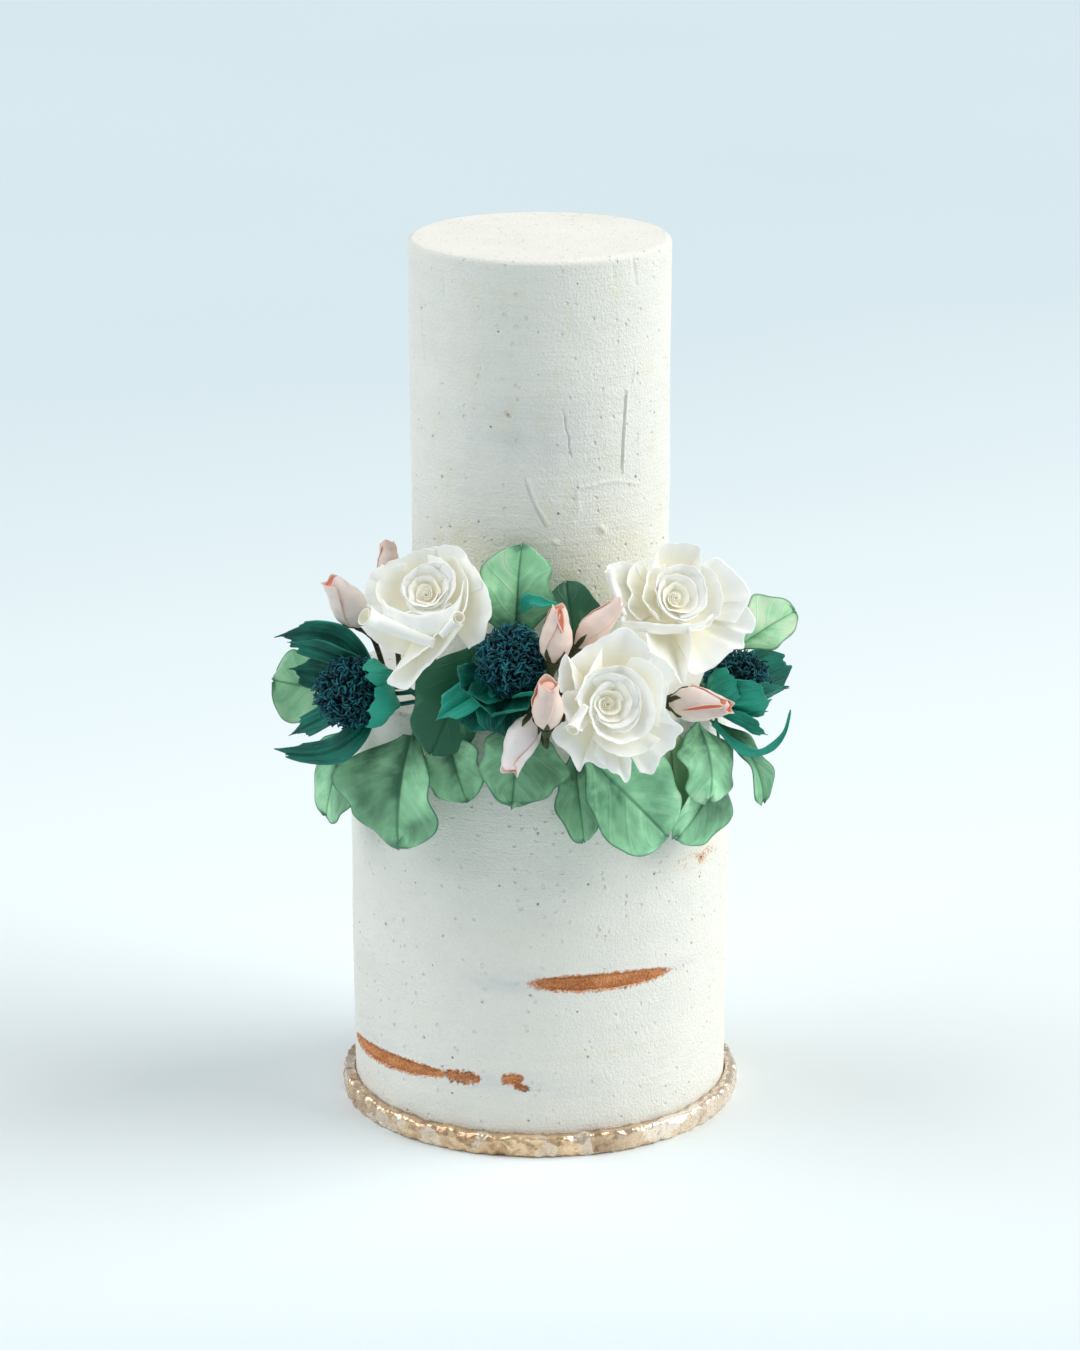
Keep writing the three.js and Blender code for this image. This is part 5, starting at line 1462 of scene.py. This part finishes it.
def bract_point(spec, flower):
    """A bract from its flower's seat to its tip, pleated along it and torn at its end."""
    seat = Vector(flower["seat"])
    axis = aim(*flower["aim"])
    spread = Vector(spec["tip"]) - seat
    outward = (spread - axis * spread.dot(axis)).normalized()
    half = spec["width"] * 0.62
    outline = [half * 0.4, half * 0.85, half, half * 0.95, half * 0.55]
    foot = seat + outward * 4 - axis * 4
    blade = blade_point({**spec, "foot": foot, "left": outline, "right": outline, "ripple": 0.6,
                         "edge": 0.3, "lobes": 0}, axis)
    seed = spec["tip"][0]

    def at(u, v):
        torn = 0.08 * abs(math.sin(u * 3.1 + seed)) + 0.02 * abs(math.sin(u * 9 + seed * 2))
        torn = torn * spec["torn"] + 0.17 * u * u
        pleat = 0.22 * math.sin(u * 13 + seed) * smooth(0, 0.3, v)
        return blade(u, v * (1 - torn * smooth(0.5, 1.0, v))) + axis * pleat
    return at


def ribbon_point(spec):
    """A narrow curling bract along a path, tapering to its tip."""
    path = [Vector(p) for p in spec["path"]]
    face = Vector((0, -0.94, 0.34))

    def at(u, v):
        ahead = heading(path, v, 0.04)
        side = ahead.cross(face).normalized()
        half = spec["width"] / 2 * mix(0.5, 1, smooth(0, 0.3, v)) * max(1 - v, 0.01) ** 0.6
        half *= 1 + 0.18 * math.sin(v * 17 + 3 * u)
        return curve_point(path, v) + side * (u * half) + face * (0.35 * half * u * u)
    return at


def bract_tone(spec):
    """Brighter rim, and the bract's own brightness."""
    def tone(u, v, side):
        edge = 1 - smooth(0.0, 0.16, 1 - abs(u))
        return edge * 0.6, spec["bright"], 0
    return tone


def fibre_tree(finish):
    """Geometry Nodes that cover a dome with curled fibres."""
    tree = bpy.data.node_groups.new("curled_fibres", "GeometryNodeTree")
    face = tree.interface
    face.new_socket("Geometry", in_out="INPUT", socket_type="NodeSocketGeometry")
    for name, value in (("Density", 1100000.0), ("Length", 0.0052), ("Thickness", 0.0003)):
        face.new_socket(name, in_out="INPUT", socket_type="NodeSocketFloat").default_value = value
    face.new_socket("Seed", in_out="INPUT", socket_type="NodeSocketInt").default_value = 3
    face.new_socket("Geometry", in_out="OUTPUT", socket_type="NodeSocketGeometry")

    n = Nodes(tree)
    given = n.node("NodeGroupInput")
    dome, density, length, thickness, seed = (given.other(k) for k in range(5))
    scatter = n.node("GeometryNodeDistributePointsOnFaces", {},
                     {"Mesh": dome, "Density": density, "Seed": seed})
    line = n.node("GeometryNodeCurveQuadraticBezier", {},
                  {"Resolution": 5, "Start": (0, 0, -0.15), "Middle": (0, 0, 0.75), "End": (0.62, 0.1, 0.72)})
    share = n.node("GeometryNodeSplineParameter", output="Factor")
    named = n.node("GeometryNodeStoreNamedAttribute", {"data_type": "FLOAT", "domain": "POINT"},
                   {"Geometry": line, "Name": "tip", "Value": share})
    thin = n.node("ShaderNodeMapRange", {}, {"Value": share, "To Min": 1.0, "To Max": 0.25})
    taper = n.node("GeometryNodeSetCurveRadius", {}, {"Curve": named, "Radius": thin})
    profile = n.node("GeometryNodeCurvePrimitiveCircle", {}, {"Resolution": 4, "Radius": thickness / length})
    fibre = n.node("GeometryNodeCurveToMesh", {},
                   {"Curve": taper, "Profile Curve": profile, "Fill Caps": True})
    size = n.node("FunctionNodeRandomValue", {"data_type": "FLOAT"},
                  {"Min": 0.65, "Max": 1.25, "Seed": seed}, 1)
    spin = n.node("FunctionNodeRandomValue", {"data_type": "FLOAT_VECTOR"},
                  {0: (-0.45, -0.45, 0), 1: (0.45, 0.45, 2 * math.pi), "Seed": seed})
    turned = n.node("FunctionNodeRotateEuler", {"space": "LOCAL"},
                    {"Rotation": scatter.other("Rotation"), "Rotate By": spin})
    placed = n.node("GeometryNodeInstanceOnPoints", {},
                    {"Points": scatter, "Instance": fibre, "Rotation": turned, "Scale": size * length})
    shade = n.node("FunctionNodeRandomValue", {"data_type": "FLOAT"}, {"Seed": 17}, 1)
    own = n.node("GeometryNodeStoreNamedAttribute", {"data_type": "FLOAT", "domain": "INSTANCE"},
                 {"Geometry": placed, "Name": "own", "Value": shade})
    joined = n.node("GeometryNodeJoinGeometry", {}, {0: own})
    tree.links.new(dome.socket, joined.socket.node.inputs[0])
    real = n.node("GeometryNodeRealizeInstances", {}, {"Geometry": joined})
    coated = n.node("GeometryNodeSetMaterial", {}, {"Geometry": real, "Material": finish})
    n.node("NodeGroupOutput", {}, {0: coated})
    return tree


def apply_fibres(piece, tree, seed):
    """Turn a piece into the plain mesh that the fibres' tree makes of it."""
    modifier = piece.modifiers.new("fibres", "NODES")
    modifier.node_group = tree
    for item in tree.interface.items_tree:
        if item.in_out == "INPUT" and item.name == "Seed":
            modifier[item.identifier] = seed
    ready = piece.evaluated_get(bpy.context.evaluated_depsgraph_get())
    mesh = bpy.data.meshes.new_from_object(ready)
    piece.modifiers.clear()
    piece.data = mesh


def make_thistles(colours):
    """Three dark thistle-like heads: a dome of curled fibres in a ring of torn bracts."""
    fuzz = fuzz_finish(colours)
    teal = bract_finish(colours)
    tree = fibre_tree(fuzz)
    for number, (name, flower) in enumerate(PROTEAS.items()):
        place = flower_frame(Vector(flower["seat"]), aim(*flower["aim"]))
        radius, depth = flower["radius"], flower["depth"]
        dome = Paste()
        levels = [(depth * z * DOME_BODY_DEPTH, radius * DOME_BODY_RADIUS * r) for z, r in DOME_PROFILE]
        dome.core(levels, 28, 20, (0, 0, 0), place)
        dome.points = [p + (p - place.translation).normalized() * 1.5 * noise.noise(p * 0.17)
                       for p in dome.points]
        piece = dome.object(f"{name}_fibres", fuzz)
        apply_fibres(piece, tree, 5 + number)
        place_piece(piece, "fuzz_blue", f"{name}_dome")

        paste = Paste()
        for spec in flower["bracts"]:
            paste.sheet(bract_point(spec, flower), *BRACT_GRID,
                        lambda u, v: mix(0.25, 0.8, smooth(0, 0.2, 1 - v)), bract_tone(spec))
        for spec in flower["ribbons"]:
            paste.sheet(ribbon_point(spec), *RIBBON_GRID, lambda u, v: 0.4, bract_tone(spec))
        for wire in flower["wires"]:
            paste.tube([Vector(p) for p in wire], lambda t: WIRE_SHOWN_RADIUS, *WIRE_GRID)
        paste.core([(-10, 1.4), (-8, 2.6), (-5, 4.6), (-1.6, 5.4)], 16, 10, (0, 0, 0), place)
        paste.wire(place, -8, -14, flower["root"])
        place_piece(paste.object(f"{name}_torn_bracts", teal), "bract_teal", f"{name}_bracts")


def soft_light(name, direction, spread, strength, colour):
    """A broad even light from one side."""
    light = bpy.data.lights.new(name, "SUN")
    light.angle = math.radians(spread)
    light.energy = strength
    light.color = colour
    made = bpy.data.objects.new(name, light)
    made.location = Vector(direction)
    made.rotation_euler = Vector(direction).to_track_quat("Z", "Y").to_euler()
    bpy.context.scene.collection.objects.link(made)


def make_stage(colours):
    """Pale floor, soft window light from both sides and the camera of the photograph."""
    floor = Paste()
    section = [(FLOOR_INNER, -FLOOR_THICKNESS), (FLOOR_OUTER, -FLOOR_THICKNESS), (FLOOR_OUTER, 0.0),
               (FLOOR_INNER, 0.0)]
    floor.turned([lambda angle, place=place: place for place in section], around(6.0), no_tone)
    made = floor.object("studio_floor", floor_finish(colours))

    for name, light in LIGHTS.items():
        soft_light(name, **light)

    world = bpy.data.worlds.new("studio_air")
    world.use_nodes = True
    sky = world.node_tree.nodes["Background"]
    sky.inputs["Color"].default_value = (*colours.air, 1)
    sky.inputs["Strength"].default_value = AIR_STRENGTH
    scene = bpy.context.scene
    scene.world = world
    scene.view_settings.view_transform = "Standard"
    scene.view_settings.look = "None"
    scene.view_settings.exposure = 0.0

    sizes = scene.cake_camera
    lens = bpy.data.cameras.new("camera")
    lens.sensor_width = SENSOR_WIDTH
    lens.lens = sizes.lens
    lens.clip_end = SIGHT
    camera = bpy.data.objects.new("camera", lens)
    camera.location = (0, -sizes.distance, sizes.height)
    camera.rotation_euler = (math.radians(90) - sizes.pitch, 0, 0)
    scene.collection.objects.link(camera)
    scene.camera = camera


def distance_property(name, text, default):
    return bpy.props.FloatProperty(name=name, description=text, default=default, subtype="DISTANCE",
                                   unit="LENGTH")


def colour_property(name, text, default):
    return bpy.props.FloatVectorProperty(name=name, description=text, default=default, size=3, min=0, max=1,
                                         subtype="COLOR")


class CakeCamera(bpy.types.PropertyGroup):
    """Where the photograph was taken from."""

    distance: distance_property("Distance", "Level distance from the cake's axis", 1.6947)
    height: distance_property("Height", "Height of the lens over the floor", 0.6924)
    pitch: bpy.props.FloatProperty(name="Pitch", description="How far the camera looks down",
                                   default=math.radians(16.849), subtype="ANGLE", unit="ROTATION")
    lens: bpy.props.FloatProperty(name="Lens", description="Focal length in millimetres", default=115.08,
                                  subtype="DISTANCE_CAMERA")


class CakeColours(bpy.types.PropertyGroup):
    """Base colours of the cake's finishes."""

    icing: colour_property("Icing", "Buttercream", (0.88, 0.87, 0.80))
    icing_shade: colour_property("Icing shade", "Buttercream where it is thinner", (0.81, 0.81, 0.745))
    icing_thin: colour_property("Thin icing", "Bluish icing scraped almost through", (0.62, 0.64, 0.68))
    icing_stain: colour_property("Stained icing", "Icing that took up butter", (0.80, 0.78, 0.60))
    icing_speck: colour_property("Specks", "Dark specks in the icing", (0.13, 0.11, 0.10))
    sponge: colour_property("Sponge", "Crumb of the sponge", (0.81, 0.365, 0.155))
    sponge_pale: colour_property("Pale sponge", "Crumb where it is drier", (0.70, 0.36, 0.20))
    # Painted shade of the crumb: in its hollows and beyond the edge of the icing
    sponge_shade: colour_property("Sponge holes", "Crumb in the holes", (0.40, 0.13, 0.045))
    gold: colour_property("Gold", "Dusted paste", (0.90, 0.66, 0.42))
    # The painted highlight colour of the gold paste
    gold_highlight: colour_property("Bright gold", "Dusted paste on its lit facets", (1.0, 0.90, 0.78))
    gold_deep: colour_property("Gold in folds", "Dusted paste in the hollows", (0.46, 0.27, 0.135))
    gold_bare: colour_property("Bare paste", "Paste that the dust missed", (0.27, 0.15, 0.07))
    petal: colour_property("Petal", "White sugar petal", (0.94, 0.95, 0.915))
    # Painted shade deep in the flower
    petal_depth_shade: colour_property("Petal depth", "White petal deep in the flower", (0.92, 0.88, 0.70))
    bud: colour_property("Bud", "Blush petal", (0.87, 0.66, 0.575))
    bud_warm: colour_property("Warm bud", "Blush petal where it was dusted", (0.86, 0.60, 0.49))
    bud_coral: colour_property("Coral", "Inside of a bud", (0.70, 0.17, 0.10))
    # Colour of painted light on the buds that are lit more
    bud_lit: colour_property("Pale bud", "Blush petal of the lighter buds", (0.97, 0.86, 0.81))
    leaf_dark: colour_property("Dark leaf", "Deep wash of a leaf", (0.012, 0.125, 0.062))
    leaf_light: colour_property("Light leaf", "Light wash of a leaf", (0.33, 0.735, 0.42))
    leaf_olive: colour_property("Olive leaf", "Warm wash of a leaf", (0.33, 0.43, 0.25))
    leaf_pale: colour_property("Leaf vein", "Palest parts and side veins", (0.66, 0.84, 0.60))
    leaf_rim: colour_property("Leaf rim", "Dusted edge of a leaf", (0.02, 0.12, 0.075))
    bract: colour_property("Bract", "Dark bract", (0.002, 0.062, 0.052))
    # Partly a colour of painted light
    bract_bright: colour_property("Bright bract", "Turned face of a bract", (0.02, 0.41, 0.285))
    # Painted shade at the feet of the fibres
    fuzz: colour_property("Fibre foot", "Foot of a fibre", (0.001, 0.012, 0.018))
    fuzz_tip: colour_property("Fibre tip", "Tip of a fibre", (0.01, 0.19, 0.24))
    calyx: colour_property("Calyx", "Sepals and taped wires", (0.018, 0.028, 0.012))
    calyx_pale: colour_property("Pale calyx", "Sepals where they are lighter", (0.12, 0.13, 0.05))
    floor: colour_property("Floor", "Studio floor", (0.83, 0.89, 0.905))
    # The floor's painted shade
    floor_shade: colour_property("Floor shade", "Studio floor where it is duller", (0.56, 0.667, 0.71))
    air: colour_property("Air", "Light from all round", (0.93, 0.97, 1.0))


def step_operator(name, label, text, make):
    """An operator that makes one group of pieces."""
    def execute(self, context):
        make(context.scene.cake_colours)
        return {"FINISHED"}
    members = {"__doc__": text, "bl_idname": f"cake.{name}", "bl_label": label, "bl_options": {"REGISTER"},
               "execute": execute}
    return type(f"CAKE_OT_{name}", (bpy.types.Operator,), members)


STEPS = [
    step_operator("tiers", "Tiers", "Ice both tiers", make_tiers),
    step_operator("sponge", "Sponge", "Make the sponge that shows through", make_sponge),
    step_operator("border", "Gold border", "Press the gold paste round the foot", make_border),
    step_operator("roses", "Roses", "Make the white roses", make_roses),
    step_operator("buds", "Rosebuds", "Make the blush rosebuds", make_buds),
    step_operator("calyxes", "Calyxes and wires", "Make the sepals and the taped wires", make_calyxes),
    step_operator("thistles", "Thistle-like flowers", "Make the dark fibrous flowers", make_thistles),
    step_operator("leaves", "Leaves", "Make the sugar leaves", make_leaves),
    step_operator("stage", "Stage", "Lay the floor and set lights and camera", make_stage),
]


class CAKE_PT_panel(bpy.types.Panel):
    """Lists the steps that dress the cake."""

    bl_idname = "CAKE_PT_panel"
    bl_label = "Wedding cake"
    bl_space_type = "VIEW_3D"
    bl_region_type = "UI"
    bl_category = "Cake"

    def draw(self, context):
        for step in STEPS:
            self.layout.operator(step.bl_idname)
        for settings in (context.scene.cake_camera, context.scene.cake_colours):
            for name in settings.__annotations__:
                self.layout.prop(settings, name)


CLASSES = [CakeCamera, CakeColours, *STEPS, CAKE_PT_panel]


def register():
    for made in CLASSES:
        bpy.utils.register_class(made)
    bpy.types.Scene.cake_camera = bpy.props.PointerProperty(type=CakeCamera)
    bpy.types.Scene.cake_colours = bpy.props.PointerProperty(type=CakeColours)


def unregister():
    del bpy.types.Scene.cake_camera
    del bpy.types.Scene.cake_colours
    for made in reversed(CLASSES):
        bpy.utils.unregister_class(made)


def main():
    register()
    for step in STEPS:
        getattr(bpy.ops.cake, step.bl_idname.split(".")[1])()


if __name__ == "__main__":
    main()
